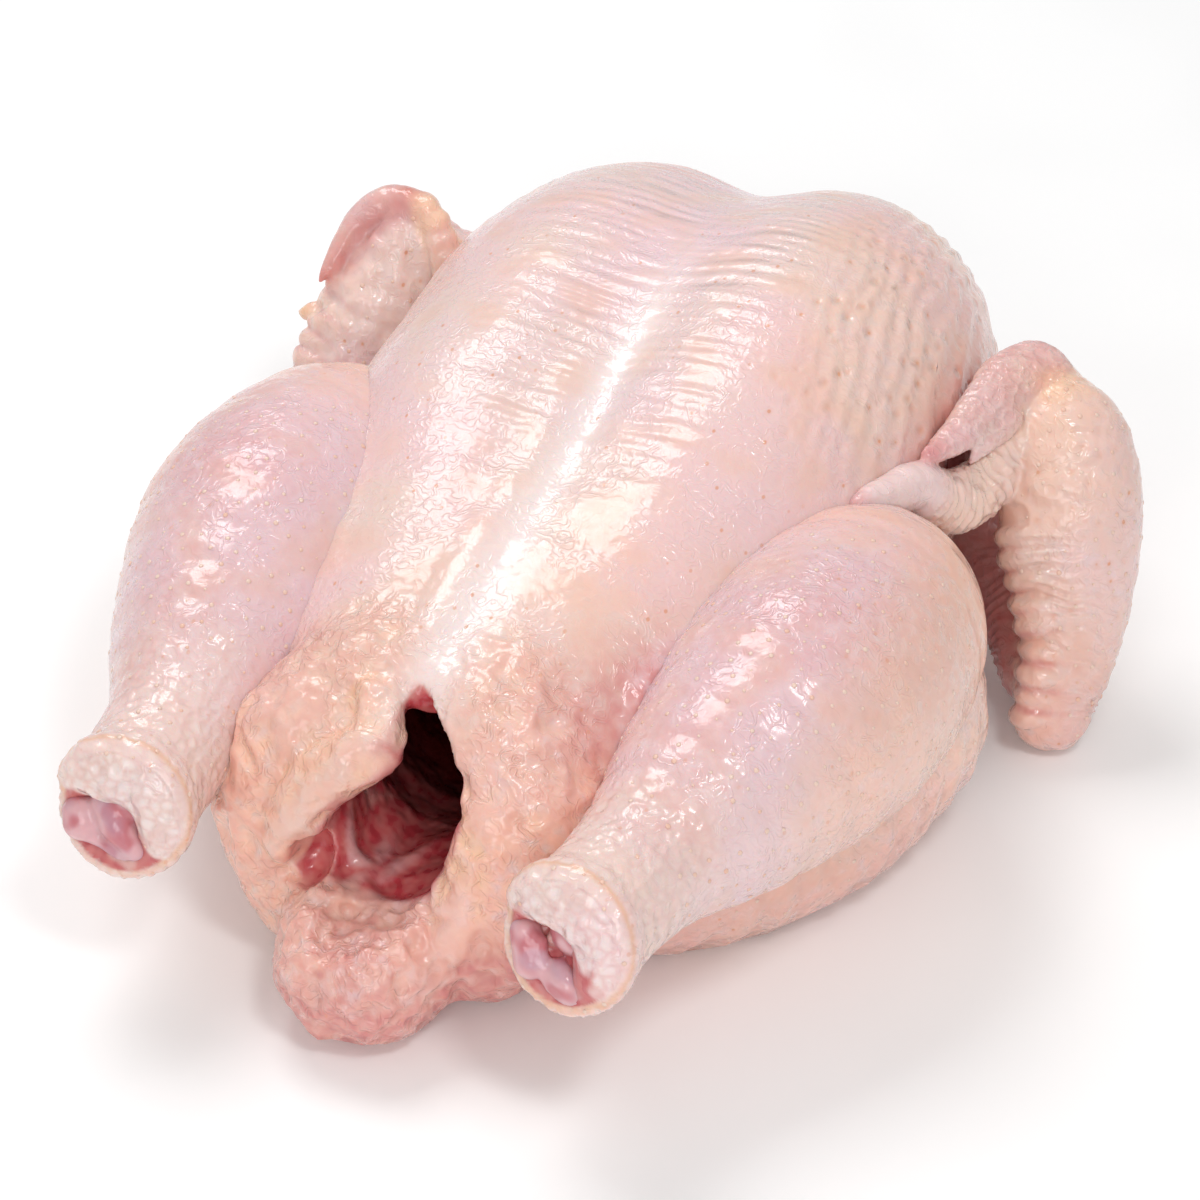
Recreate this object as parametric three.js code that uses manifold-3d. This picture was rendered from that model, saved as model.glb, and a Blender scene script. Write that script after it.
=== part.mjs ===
// A whole raw chicken, plucked and drawn, lying on its back with its legs toward the viewer.
// Millimetres, +Z up. Inside this file the breast bone lies over x = 0, +X is the viewer's right,
// y = 0 is the middle of the tail and +Y runs to the neck, and the bird rests on z = 0.
// The finished group is moved so that its origin is the middle of the footprint.

import * as THREE from 'three';
import Module from 'manifold-3d';

const wasm = await Module();
wasm.setup();

// The two sides of the bird.
const RIGHT = 1;
const LEFT = -1;
const SIDES = [RIGHT, LEFT];

// Fineness of the skin
const CELL = 3.7; // spacing of the lattice that the skin is first traced on
const SKIN_TRIANGLES = 10200; // facets that the traced skin is reduced to
const LENGTHWISE_STEPS = 4; // round cones between two stations of a limb
const FLOOR_MARGIN = 10; // how far the forms reach below the floor before the flat is cut

// Breast and trunk
const TRUNK = { centre: [0, 124, 36], radii: [60, 112, 40] };
const BREAST_RADII = [46, 74, 50];
const BREAST_Y = 171;
const BREAST_X = { [RIGHT]: 26.5, [LEFT]: 24 };
const BREAST_Z = { [RIGHT]: 56, [LEFT]: 51.5 };
const BREAST_TOE_IN = THREE.MathUtils.degToRad(1);
const BREAST_BLEND = 15;
const BELLY = [[13, 54, 42, 30], [19, 84, 47, 35], [25, 126, 52, 40]];
const BELLY_BLEND = 14;
const KEEL = [[0, 46, 64.5, 6], [0, 70, 71, 5.5], [0, 100, 78, 5], [0, 125, 82, 4]];
const KEEL_BLEND = 8;
const NECK_SKIN = [[0, 228, 36, 20], [22, 224, 32, 18], [38, 212, 27, 16]];
const NECK_BLEND = 12;

// Legs, as stations of x, y, z and radius on a bird whose legs lie alike
const THIGH = [[38, 46, 17, 18], [58, 67, 19, 24], [71, 92, 23, 29], [77, 112, 30, 31]];
const THIGH_BLEND = 9;
const DRUMSTICK = [
  [76, 126, 50, 22], [79, 108, 54, 29], [77, 82, 54, 31], [70, 52, 51, 24.5],
  [63, 26, 48.5, 16.5], [59, 6, 48, 14.5], [57, -7, 48, 16],
];
const DRUMSTICK_BLEND = 6;
const KNEE_Y = 120; // from here to the neck a leg is moved in by KNEE_IN, at the hock by HOCK_IN
const KNEE_IN = { [RIGHT]: 9, [LEFT]: 18 };
const HOCK_IN = { [RIGHT]: 3.5, [LEFT]: 6.5 };
const HOCK_LIFT = { [RIGHT]: 2.5, [LEFT]: 0 };

// The cut through the hock: a cuff of skin round a shallow bowl
const CUT_TILT = 0.38; // how far the cut face looks up, as a slope
const CUT_ROUNDING = 4;
const BOWL = { radius: 19, depth: 4, blend: 3.5 };

// Shin bones, along the middle of each drumstick
const BONE = { head: 6.6, headSpread: 5.4, kneeShort: 22, proud: 0.6, kneeCap: 6.8 };
// From the knee to the hock, as radius and share of the length
const BONE_OUTLINE = [[5.4, -0.06], [9, 0.05], [4.2, 0.4], [4.2, 0.72], [6, 1]];
const BONE_RINGS = 9;
const BONE_SIDES = 12;
const SOCKET_GAP = 0.35;

// Round the vent: two flaps of skin, the tail and the open hollow between them
const FLAP = [[14, 42, 60, 13], [26, 31, 49, 15], [30, 27, 33, 15], [21, 22, 15, 12]];
const FLAP_BLEND = 6;
const TAIL = [[0, 34, 18, 17], [0, 15, 17, 18], [0, 4, 16, 16]];
const TAIL_NARROWING = 0.85;
const TAIL_BLEND = 6;
const HOLLOW = [[1, 34, 46, 15], [0, 70, 44, 27], [0, 120, 46, 33], [0, 165, 48, 30]];
const HOLLOW_BLEND = 4;
const MOUTH_DEPTH_Y = 48;
const MOUTH_END_BLEND = 4;
const MOUTH_TO_HOLLOW_BLEND = 8;
const MOUTH = [ // the opening seen from the tail, as x and z
  [0, 68], [8.5, 64], [15.5, 58.5], [18.3, 51.5], [18.2, 44], [16.5, 35], [8, 28], [-4, 24],
  [-10.5, 28.5], [-13.4, 38], [-13.6, 45], [-10.7, 49], [-5.3, 52.5], [-2, 57], [-3, 63],
];

// Wings, folded back under the shoulders, the elbow on the floor. Each limb of a wing has its
// stations and the width of its fillet, and a flat one the way in which it is thin.
const WING_BLEND = 6;
const FOREARM_THIN_WAY = [0.35, -0.9, -0.25];
const THUMB_THIN_WAY = [0.3, -0.3, 0.9];
const RIGHT_WING = [
  { stations: [[52, 208, 46, 22], [77, 190, 25, 12.5], [95, 165, 12.5, 9]], blend: 6 },
  {
    stations: [[103, 153, 8.3, 8.6], [103.5, 162.3, 26.3, 11.8], [98, 173.4, 47, 16.5], [91.5, 184, 62, 16],
      [84, 191, 69, 11]],
    flat: FOREARM_THIN_WAY,
    squash: 1.35,
    blend: 6,
  },
  {
    stations: [[87, 186, 69, 8], [82, 174, 64, 5.6], [76.5, 158, 59.5, 5.8], [71.5, 147, 66.5, 5.4],
      [66.2, 137, 72.3, 4], [63, 130.5, 73.6, 2.4]],
    blend: 4,
  },
  {
    stations: [[81, 190, 76, 9], [76, 182, 75.5, 7.4], [72, 169, 71.5, 4.6], [68, 158, 70.5, 2.4]],
    flat: THUMB_THIN_WAY,
    squash: 1.5,
    blend: 3,
  },
];
const LEFT_WING = [
  { stations: [[-52, 208, 46, 22], [-76, 184, 26, 17], [-90, 160, 14, 11]], blend: 6 },
  {
    stations: [[-91, 154, 10, 9.5], [-89.5, 162, 26, 13], [-87, 173.5, 47, 14], [-82, 185, 66, 12],
      [-79, 189, 74, 8]],
    flat: FOREARM_THIN_WAY,
    squash: 1.35,
    blend: 6,
  },
  { stations: [[-79, 188, 72, 6], [-72, 190, 68, 7], [-64, 198, 58, 11]], blend: 5 },
  { stations: [[-78, 187, 79, 5], [-73, 186, 78, 5.4], [-69, 184, 71, 6]], blend: 4 },
  {
    stations: [[-78, 188, 79, 6], [-86, 186, 81, 4.4], [-92, 181, 76, 4.2], [-96, 170.5, 65.5, 1.8]],
    blend: 3,
  },
];

// The space that holds every form
const SPACE = new THREE.Box3(
  new THREE.Vector3(-125, -32, -FLOOR_MARGIN),
  new THREE.Vector3(125, 262, 122),
);

// Forms are functions of x, y, z that give the distance to a surface, negative inside.

/** Joins two distances with a fillet about k wide. */
function join(a, b, k) {
  const h = Math.max(k - Math.abs(a - b), 0) / k;
  return Math.min(a, b) - h * h * k * 0.25;
}

/** Keeps what is inside both distances, with an edge rounded about k wide. */
function common(a, b, k) {
  return -join(-a, -b, k);
}

/** An ellipsoid turned about Z. */
function ellipsoid([cx, cy, cz], [rx, ry, rz], turn = 0) {
  const cos = Math.cos(turn);
  const sin = Math.sin(turn);
  return (x, y, z) => {
    const u = (x - cx) * cos + (y - cy) * sin;
    const v = (y - cy) * cos - (x - cx) * sin;
    const w = z - cz;
    const near = Math.hypot(u / rx, v / ry, w / rz);
    const slope = Math.hypot(u / (rx * rx), v / (ry * ry), w / (rz * rz));
    return near * (near - 1) / Math.max(slope, 1e-6);
  };
}

/** Round cones along a smooth line through stations of x, y, z and radius. */
function limb(stations, { flat = null, squash = 1 } = {}) {
  const count = (stations.length - 1) * LENGTHWISE_STEPS;
  const smooth = (points) => new THREE.CatmullRomCurve3(points, false, 'catmullrom', 0.5).getPoints(count);
  const centres = smooth(stations.map(([x, y, z]) => new THREE.Vector3(x, y, z)));
  const radii = smooth(stations.map(([, , , r], i) => new THREE.Vector3(i, r, 0))).map((p) => p.y);
  const thin = flat ? new THREE.Vector3(...flat).normalize() : new THREE.Vector3();
  const extra = flat ? squash - 1 : 0;
  return (x, y, z) => {
    let best = Infinity;
    for (let i = 0; i < count; i++) {
      const a = centres[i];
      const b = centres[i + 1];
      const abx = b.x - a.x;
      const aby = b.y - a.y;
      const abz = b.z - a.z;
      const along = ((x - a.x) * abx + (y - a.y) * aby + (z - a.z) * abz) / (abx * abx + aby * aby + abz * abz);
      const t = Math.min(Math.max(along, 0), 1);
      let qx = x - a.x - t * abx;
      let qy = y - a.y - t * aby;
      let qz = z - a.z - t * abz;
      const across = (qx * thin.x + qy * thin.y + qz * thin.z) * extra;
      qx += across * thin.x;
      qy += across * thin.y;
      qz += across * thin.z;
      const reach = Math.sqrt(qx * qx + qy * qy + qz * qz) - radii[i] - t * (radii[i + 1] - radii[i]);
      best = Math.min(best, reach);
    }
    return best;
  };
}

/** A prism along Y whose outline is a list of x and z. */
function prism(outline) {
  return (x, z) => {
    let nearest = Infinity;
    let inside = false;
    outline.forEach(([ax, az], i) => {
      const [bx, bz] = outline[(i + 1) % outline.length];
      const ex = bx - ax;
      const ez = bz - az;
      const t = THREE.MathUtils.clamp(((x - ax) * ex + (z - az) * ez) / (ex * ex + ez * ez), 0, 1);
      nearest = Math.min(nearest, Math.hypot(x - ax - t * ex, z - az - t * ez));
      if ((az <= z) !== (bz <= z) && x < ax + (z - az) / ez * ex) inside = !inside;
    });
    return inside ? -nearest : nearest;
  };
}

const mirrored = (stations, side) => stations.map(([x, ...rest]) => [side * x, ...rest]);

/** Moves leg stations to where that side's leg lies. */
function asLegLies(stations, side) {
  return stations.map(([x, y, z, r]) => {
    const t = THREE.MathUtils.clamp(y / KNEE_Y, 0, 1);
    const inward = THREE.MathUtils.lerp(HOCK_IN[side], KNEE_IN[side], t);
    return [side * (x - inward), y, z + HOCK_LIFT[side] * (1 - t), r];
  });
}

/** The middle of a leg's cut face and the way that the face looks. */
function hockCut(side) {
  const [before, last] = asLegLies(DRUMSTICK, side).slice(-2).map(([x, y, z]) => new THREE.Vector3(x, y, z));
  const facing = last.clone().sub(before).normalize();
  facing.z += CUT_TILT;
  return { middle: last, facing: facing.normalize() };
}

function trunkForm() {
  const trunk = ellipsoid(TRUNK.centre, TRUNK.radii);
  const breasts = SIDES.map((side) => ellipsoid([side * BREAST_X[side], BREAST_Y, BREAST_Z[side]],
    BREAST_RADII, side * BREAST_TOE_IN));
  const bellies = SIDES.map((side) => limb(mirrored(BELLY, side)));
  const keel = limb(KEEL);
  const neckSkin = SIDES.map((side) => limb(mirrored(NECK_SKIN, side)));
  return (x, y, z) => {
    let d = trunk(x, y, z);
    SIDES.forEach((side, i) => {
      d = join(d, breasts[i](x, y, z), BREAST_BLEND);
      d = join(d, bellies[i](x, y, z), BELLY_BLEND);
    });
    d = join(d, keel(x, y, z), KEEL_BLEND);
    return join(d, Math.min(neckSkin[0](x, y, z), neckSkin[1](x, y, z)), NECK_BLEND);
  };
}

function drumstickForm(side) {
  const meat = limb(asLegLies(DRUMSTICK, side));
  const { middle, facing } = hockCut(side);
  const bowlMiddle = middle.clone().addScaledVector(facing, BOWL.radius - BOWL.depth);
  return (x, y, z) => {
    const beyondCut = (x - middle.x) * facing.x + (y - middle.y) * facing.y + (z - middle.z) * facing.z;
    const bowl = Math.hypot(x - bowlMiddle.x, y - bowlMiddle.y, z - bowlMiddle.z) - BOWL.radius;
    return common(common(meat(x, y, z), beyondCut, CUT_ROUNDING), -bowl, BOWL.blend);
  };
}

function wingForm(wing) {
  const parts = wing.map(({ stations, blend, ...thinning }) => ({ form: limb(stations, thinning), blend }));
  return (x, y, z) => parts.reduce((d, { form, blend }) => join(d, form(x, y, z), blend), Infinity);
}

function hollowForm() {
  const inner = limb(HOLLOW);
  const outline = prism(MOUTH);
  return (x, y, z) => {
    const mouth = common(outline(x, z), y - MOUTH_DEPTH_Y, MOUTH_END_BLEND);
    return join(mouth, inner(x, y, z), MOUTH_TO_HOLLOW_BLEND);
  };
}

/** The whole bird, skin side out, with its hollow open at the vent. */
function birdForm() {
  const trunk = trunkForm();
  const soft = SIDES.flatMap((side) => [
    { form: limb(asLegLies(THIGH, side)), blend: THIGH_BLEND },
    { form: limb(mirrored(FLAP, side)), blend: FLAP_BLEND },
  ]);
  const firm = SIDES.map((side) => ({ form: drumstickForm(side), blend: DRUMSTICK_BLEND }));
  const wings = [RIGHT_WING, LEFT_WING].map((wing) => ({ form: wingForm(wing), blend: WING_BLEND }));
  const tail = { form: limb(TAIL, { flat: [1, 0, 0], squash: TAIL_NARROWING }), blend: TAIL_BLEND };
  const parts = [...soft, ...firm, ...wings, tail];
  const hollow = hollowForm();
  return (x, y, z) => {
    let d = trunk(x, y, z);
    for (const { form, blend } of parts) d = join(d, form(x, y, z), blend);
    return common(d, -hollow(x, y, z), HOLLOW_BLEND);
  };
}

// Tracing a form's surface

const AXES = [0, 1, 2];

// The six faces of a lattice cell, each as its four corners in turn.
// Bit n of a corner is its place on axis n.
const CELL_FACES = AXES.flatMap((axis) => {
  const u = 1 << ((axis + 1) % 3);
  const v = 1 << ((axis + 2) % 3);
  return [0, 1 << axis].map((base) => [base, base | u, base | u | v, base | v]);
});

const EDGE_NUMBERS = 24; // each axis has eight numbers for cell edges

/** The number of the cell edge between two neighbouring corners. */
function edgeBetween(a, b) {
  return Math.log2(a ^ b) * 8 + Math.min(a, b);
}

/**
 * Groups a cell's crossed edges into the separate sheets of surface that pass through it.
 * On a face with four crossings each inside corner is cut off by itself, so neighbours always agree.
 */
function sheetsOf(inside) {
  const sheet = new Map();
  const merge = (a, b) => {
    const [from, to] = [sheet.get(a) ?? a, sheet.get(b) ?? b];
    sheet.set(a, from);
    sheet.set(b, to);
    for (const [edge, label] of sheet) if (label === from) sheet.set(edge, to);
  };
  for (const corners of CELL_FACES) {
    const edges = corners.map((corner, i) => edgeBetween(corner, corners[(i + 1) % 4]));
    const crossed = edges.filter((edge, i) => inside[corners[i]] !== inside[corners[(i + 1) % 4]]);
    if (crossed.length === 2) merge(...crossed);
    if (crossed.length === 4) {
      corners.forEach((corner, i) => {
        if (inside[corner]) merge(edges[(i + 3) % 4], edges[i]);
      });
    }
  }
  return sheet;
}

/** Traces where a form is zero, one point for each sheet in each lattice cell. */
function trace(form, space, cell) {
  const size = space.getSize(new THREE.Vector3());
  const count = size.toArray().map((length) => Math.ceil(length / cell) + 1);
  const stride = [1, count[0], count[0] * count[1]];
  const place = (i, axis) => space.min.getComponent(axis) + i * cell;
  const value = new Float32Array(count[0] * count[1] * count[2]);
  const loop = (act) => {
    for (let k = 0; k < count[2]; k++) {
      for (let j = 0; j < count[1]; j++) {
        for (let i = 0; i < count[0]; i++) act([i, j, k], i + j * stride[1] + k * stride[2]);
      }
    }
  };
  loop(([i, j, k], at) => {
    value[at] = form(place(i, 0), place(j, 1), place(k, 2));
  });

  const corner = (at, c) => at + AXES.reduce((sum, n) => sum + (c >> n & 1) * stride[n], 0);
  const points = [];
  const pointOn = new Map();
  loop((ijk, at) => {
    if (AXES.some((n) => ijk[n] + 1 >= count[n])) return;
    const values = Array.from({ length: 8 }, (_, c) => value[corner(at, c)]);
    const inside = values.map((v) => v < 0);
    if (inside.every((v) => v === inside[0])) return;
    const sums = new Map();
    for (const [edge, label] of sheetsOf(inside)) {
      const axis = edge >> 3;
      const start = edge & 7;
      const [a, b] = [values[start], values[start | 1 << axis]];
      const sum = sums.get(label) ?? { point: new THREE.Vector3(), edges: [] };
      const crossing = AXES.map((n) => place(ijk[n] + (start >> n & 1) + (n === axis ? a / (a - b) : 0), n));
      sum.point.add(new THREE.Vector3(...crossing));
      sum.edges.push(edge);
      sums.set(label, sum);
    }
    for (const { point, edges } of sums.values()) {
      for (const edge of edges) pointOn.set(at * EDGE_NUMBERS + edge, points.length);
      points.push(point.divideScalar(edges.length));
    }
  });

  const faces = [];
  loop((ijk, at) => {
    for (const axis of AXES) {
      if (ijk[axis] + 1 >= count[axis]) continue;
      const starts = value[at] < 0;
      if (starts === value[at + stride[axis]] < 0) continue;
      const [u, v] = [(axis + 1) % 3, (axis + 2) % 3];
      const quad = [[1, 1], [0, 1], [0, 0], [1, 0]].map(([du, dv]) => {
        const cellAt = at - du * stride[u] - dv * stride[v];
        return pointOn.get(cellAt * EDGE_NUMBERS + axis * 8 + du * (1 << u) + dv * (1 << v));
      });
      if (!starts) quad.reverse();
      const [a, b, c, d] = quad;
      const acrossShort = points[a].distanceTo(points[c]) < points[b].distanceTo(points[d]);
      faces.push(...(acrossShort ? [[a, b, c], [a, c, d]] : [[b, c, d], [b, d, a]]));
    }
  });
  return { points, faces };
}

const SETTLE_ROUNDS = 3;
const LEAST_SLOPE = 0.2; // squared, where fillets make a form's slope slight

/** Moves points along the form's slope until they lie on its surface. */
function settle(form, points) {
  const h = 0.2;
  for (let round = 0; round < SETTLE_ROUNDS; round++) {
    for (const p of points) {
      const slope = new THREE.Vector3(
        form(p.x + h, p.y, p.z) - form(p.x - h, p.y, p.z),
        form(p.x, p.y + h, p.z) - form(p.x, p.y - h, p.z),
        form(p.x, p.y, p.z + h) - form(p.x, p.y, p.z - h),
      ).divideScalar(2 * h);
      const off = form(p.x, p.y, p.z) / Math.max(slope.lengthSq(), LEAST_SLOPE);
      p.addScaledVector(slope, -THREE.MathUtils.clamp(off, -CELL / 3, CELL / 3));
    }
  }
}

/** A queue that gives back its cheapest entry first. */
class Queue {
  constructor() {
    this.items = [];
  }

  push(item) {
    const { items } = this;
    let i = items.push(item) - 1;
    while (i > 0 && items[(i - 1) >> 1].cost > item.cost) {
      items[i] = items[(i - 1) >> 1];
      i = (i - 1) >> 1;
    }
    items[i] = item;
  }

  pop() {
    const { items } = this;
    const first = items[0];
    const last = items.pop();
    if (!items.length) return first;
    let i = 0;
    for (;;) {
      let child = 2 * i + 1;
      if (child >= items.length) break;
      if (child + 1 < items.length && items[child + 1].cost < items[child].cost) child += 1;
      if (items[child].cost >= last.cost) break;
      items[i] = items[child];
      i = child;
    }
    items[i] = last;
    return first;
  }
}

const LENGTH_WEIGHT = 0.02; // how much a long edge counts against being closed up
const LEAST_TURN = 0.3; // cosine of the most that a facet may turn when an edge is closed up

/** Closes up the edges that matter least until only the wanted number of facets is left. */
function reduce({ points, faces }, wanted) {
  const plane = new THREE.Plane();
  const around = points.map(() => new Set());
  const errors = points.map(() => new Float64Array(10));
  faces.forEach((face, f) => {
    const [a, b, c] = face.map((p) => points[p]);
    plane.setFromCoplanarPoints(a, b, c);
    const n = [...plane.normal.toArray(), plane.constant];
    for (const p of face) {
      around[p].add(f);
      let slot = 0;
      for (let i = 0; i < 4; i++) {
        for (let j = i; j < 4; j++) {
          errors[p][slot] += n[i] * n[j];
          slot += 1;
        }
      }
    }
  });

  const errorAt = (q, { x, y, z }) => q[0] * x * x + 2 * q[1] * x * y + 2 * q[2] * x * z + 2 * q[3] * x
    + q[4] * y * y + 2 * q[5] * y * z + 2 * q[6] * y + q[7] * z * z + 2 * q[8] * z + q[9];
  const stamp = new Int32Array(points.length);
  const queue = new Queue();
  const offer = (a, b) => {
    const q = errors[a].map((e, i) => e + errors[b][i]);
    const middle = points[a].clone().add(points[b]).multiplyScalar(0.5);
    const choices = [middle, points[a], points[b]].map((at) => ({ at, cost: errorAt(q, at) }));
    const best = choices.reduce((least, choice) => (choice.cost < least.cost - 1e-9 ? choice : least));
    const cost = best.cost + LENGTH_WEIGHT * points[a].distanceToSquared(points[b]);
    queue.push({ a, b, cost, at: best.at.clone(), when: stamp[a] + stamp[b] });
  };
  const neighbours = (p) => new Set([...around[p]].flatMap((f) => faces[f]).filter((other) => other !== p));
  points.forEach((_, p) => {
    for (const other of neighbours(p)) if (other > p) offer(p, other);
  });

  const normal = (corners) => new THREE.Triangle(...corners).getNormal(new THREE.Vector3());
  const turnsTooFar = (p, gone, at) => [...around[p]].some((f) => {
    if (faces[f].includes(gone)) return false;
    const before = normal(faces[f].map((corner) => points[corner]));
    const after = normal(faces[f].map((corner) => (corner === p ? at : points[corner])));
    return before.dot(after) < LEAST_TURN;
  });

  let left = faces.length;
  while (left > wanted && queue.items.length) {
    const { a, b, at, when } = queue.pop();
    if (!around[a].size || !around[b].size || when !== stamp[a] + stamp[b]) continue;
    const [besideA, besideB] = [neighbours(a), neighbours(b)];
    if (!besideA.has(b) || [...besideA].filter((p) => besideB.has(p)).length !== 2) continue;
    if (turnsTooFar(a, b, at) || turnsTooFar(b, a, at)) continue;
    for (const f of [...around[b]]) {
      if (faces[f].includes(a)) {
        for (const p of faces[f]) around[p].delete(f);
        faces[f] = null;
        left -= 1;
      } else {
        faces[f] = faces[f].map((p) => (p === b ? a : p));
        around[a].add(f);
      }
    }
    around[b].clear();
    points[a].copy(at);
    errors[a].forEach((_, i) => {
      errors[a][i] += errors[b][i];
    });
    stamp[a] += 1;
    for (const other of neighbours(a)) offer(a, other);
  }

  const kept = faces.filter(Boolean);
  const renumbered = new Map();
  for (const p of kept.flat()) if (!renumbered.has(p)) renumbered.set(p, renumbered.size);
  return {
    points: [...renumbered.keys()].map((p) => points[p]),
    faces: kept.map((face) => face.map((p) => renumbered.get(p))),
  };
}

// Solids

/** A solid from points and triangles. */
function solidFrom(points, faces) {
  return new wasm.Manifold(new wasm.Mesh({
    numProp: 3,
    vertProperties: new Float32Array(points.flatMap((p) => [p.x, p.y, p.z])),
    triVerts: new Uint32Array(faces.flat()),
  }));
}

/** A solid from a closed geometry, its doubled vertices joined. */
function solidOf(geometry) {
  const bare = geometry.index ? geometry.toNonIndexed() : geometry;
  const position = bare.getAttribute('position');
  const names = new Map();
  const points = [];
  const faces = [];
  for (let i = 0; i < position.count; i += 3) {
    const face = [0, 1, 2].map((n) => {
      const p = new THREE.Vector3().fromBufferAttribute(position, i + n);
      const name = p.toArray().map((v) => Math.round(v * 1e4)).join();
      if (!names.has(name)) {
        names.set(name, points.length);
        points.push(p);
      }
      return names.get(name);
    });
    if (new Set(face).size === 3) faces.push(face);
  }
  return solidFrom(points, faces);
}

/** A solid back to a geometry. */
function geometryOf(solid) {
  const mesh = solid.getMesh();
  const geometry = new THREE.BufferGeometry();
  geometry.setAttribute('position', new THREE.BufferAttribute(mesh.vertProperties, mesh.numProp));
  geometry.setIndex(new THREE.BufferAttribute(mesh.triVerts, 1));
  return geometry;
}

/** One shin bone, swollen by extra: a waisted shaft, a round knee end and two heads at the hock. */
function shinBone(side, extra = 0) {
  const { middle, facing } = hockCut(side);
  const [knee] = asLegLies([DRUMSTICK[1]], side);
  const kneeEnd = new THREE.Vector3(...knee.slice(0, 3));
  const hockEnd = middle.clone().addScaledVector(facing, BONE.proud - BOWL.depth - BONE.head * 0.5);
  const way = hockEnd.clone().sub(kneeEnd);
  const length = way.length() - BONE.kneeShort;
  way.normalize();

  const corners = BONE_OUTLINE.map(([radius, share]) => new THREE.Vector2(radius, share * length));
  const outline = new THREE.SplineCurve(corners);
  const profile = [
    new THREE.Vector2(0, -BONE.kneeCap - extra),
    ...outline.getPoints(BONE_RINGS).map((p) => new THREE.Vector2(p.x + extra, p.y)),
    new THREE.Vector2(0, length),
  ];
  const upright = new THREE.Quaternion().setFromUnitVectors(new THREE.Vector3(0, 0, 1), way);
  const frame = new THREE.Matrix4().compose(
    hockEnd.clone().addScaledVector(way, -length),
    upright,
    new THREE.Vector3(1, 1, 1),
  );
  const shaft = new THREE.LatheGeometry(profile, BONE_SIDES).rotateX(Math.PI / 2).applyMatrix4(frame);
  let bone = solidOf(shaft);

  const across = new THREE.Vector3(1, 0, 0).addScaledVector(way, -way.x).normalize();
  for (const end of SIDES) {
    const head = new THREE.SphereGeometry(BONE.head + extra, BONE_SIDES, BONE_SIDES - 4);
    const spot = hockEnd.clone().addScaledVector(across, end * BONE.headSpread);
    head.translate(...spot.toArray());
    bone = bone.add(solidOf(head));
  }
  return bone;
}

/** The bird's flesh and skin: traced, made flat where it rests, and bored for its shin bones. */
function chickenSolid() {
  const form = birdForm();
  const traced = trace(form, SPACE, CELL);
  settle(form, traced.points);
  const skin = reduce(traced, SKIN_TRIANGLES);
  settle(form, skin.points);
  let solid = solidFrom(skin.points, skin.faces);

  const size = SPACE.getSize(new THREE.Vector3());
  const below = new THREE.BoxGeometry(size.x, size.y, 2 * FLOOR_MARGIN);
  below.translate(0, (SPACE.min.y + SPACE.max.y) / 2, -FLOOR_MARGIN);
  solid = solid.subtract(solidOf(below));
  for (const side of SIDES) solid = solid.subtract(shinBone(side, SOCKET_GAP));
  return solid;
}

function named(name, geometry, material) {
  const mesh = new THREE.Mesh(geometry, material);
  mesh.name = name;
  return mesh;
}

const skinMaterial = new THREE.MeshStandardMaterial({ color: '#edc9be', roughness: 0.38, metalness: 0 });
const boneMaterials = {
  [RIGHT]: new THREE.MeshStandardMaterial({ color: '#dcb4ba', roughness: 0.3, metalness: 0 }),
  [LEFT]: new THREE.MeshStandardMaterial({ color: '#d8adb4', roughness: 0.3, metalness: 0 }),
};
const BONE_NAMES = { [RIGHT]: 'right_shin_bone', [LEFT]: 'left_shin_bone' };

const group = new THREE.Group();
const chicken = named('chicken', geometryOf(chickenSolid()), skinMaterial);
group.add(chicken);
for (const side of SIDES) group.add(named(BONE_NAMES[side], geometryOf(shinBone(side)), boneMaterials[side]));

// The origin goes to the middle of the footprint, on the floor.
chicken.geometry.computeBoundingBox();
const middle = chicken.geometry.boundingBox.getCenter(new THREE.Vector3());
group.position.set(-middle.x, -middle.y, 0);

export default group;
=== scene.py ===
"""A whole raw chicken lying on its back: fine skin, cut hocks, folded wings and an open hollow."""
import math

import bpy
import numpy as np
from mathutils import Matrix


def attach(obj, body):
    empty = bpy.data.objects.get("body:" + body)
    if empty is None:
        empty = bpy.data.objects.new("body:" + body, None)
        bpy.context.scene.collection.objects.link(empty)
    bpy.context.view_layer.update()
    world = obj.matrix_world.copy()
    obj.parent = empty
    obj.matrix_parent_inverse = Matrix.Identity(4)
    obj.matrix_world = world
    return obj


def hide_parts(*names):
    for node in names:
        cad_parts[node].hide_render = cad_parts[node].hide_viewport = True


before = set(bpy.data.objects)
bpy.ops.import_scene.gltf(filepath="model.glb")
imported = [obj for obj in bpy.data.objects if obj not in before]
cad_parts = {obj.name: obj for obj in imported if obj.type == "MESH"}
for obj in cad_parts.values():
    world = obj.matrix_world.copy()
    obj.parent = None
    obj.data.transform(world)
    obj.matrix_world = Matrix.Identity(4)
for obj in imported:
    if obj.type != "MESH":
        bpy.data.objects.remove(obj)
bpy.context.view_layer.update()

import openvdb as vdb
from bpy.props import FloatProperty, FloatVectorProperty, IntProperty, PointerProperty
from mathutils import Vector

bl_info = {
    "name": "Raw chicken",
    "version": (1, 0, 0),
    "blender": (4, 5, 0),
    "location": "View3D > Sidebar > Raw chicken",
    "description": "Builds the skin, wings, bone ends and setting of a whole raw chicken",
    "category": "Object",
}

MM = 0.001

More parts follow.
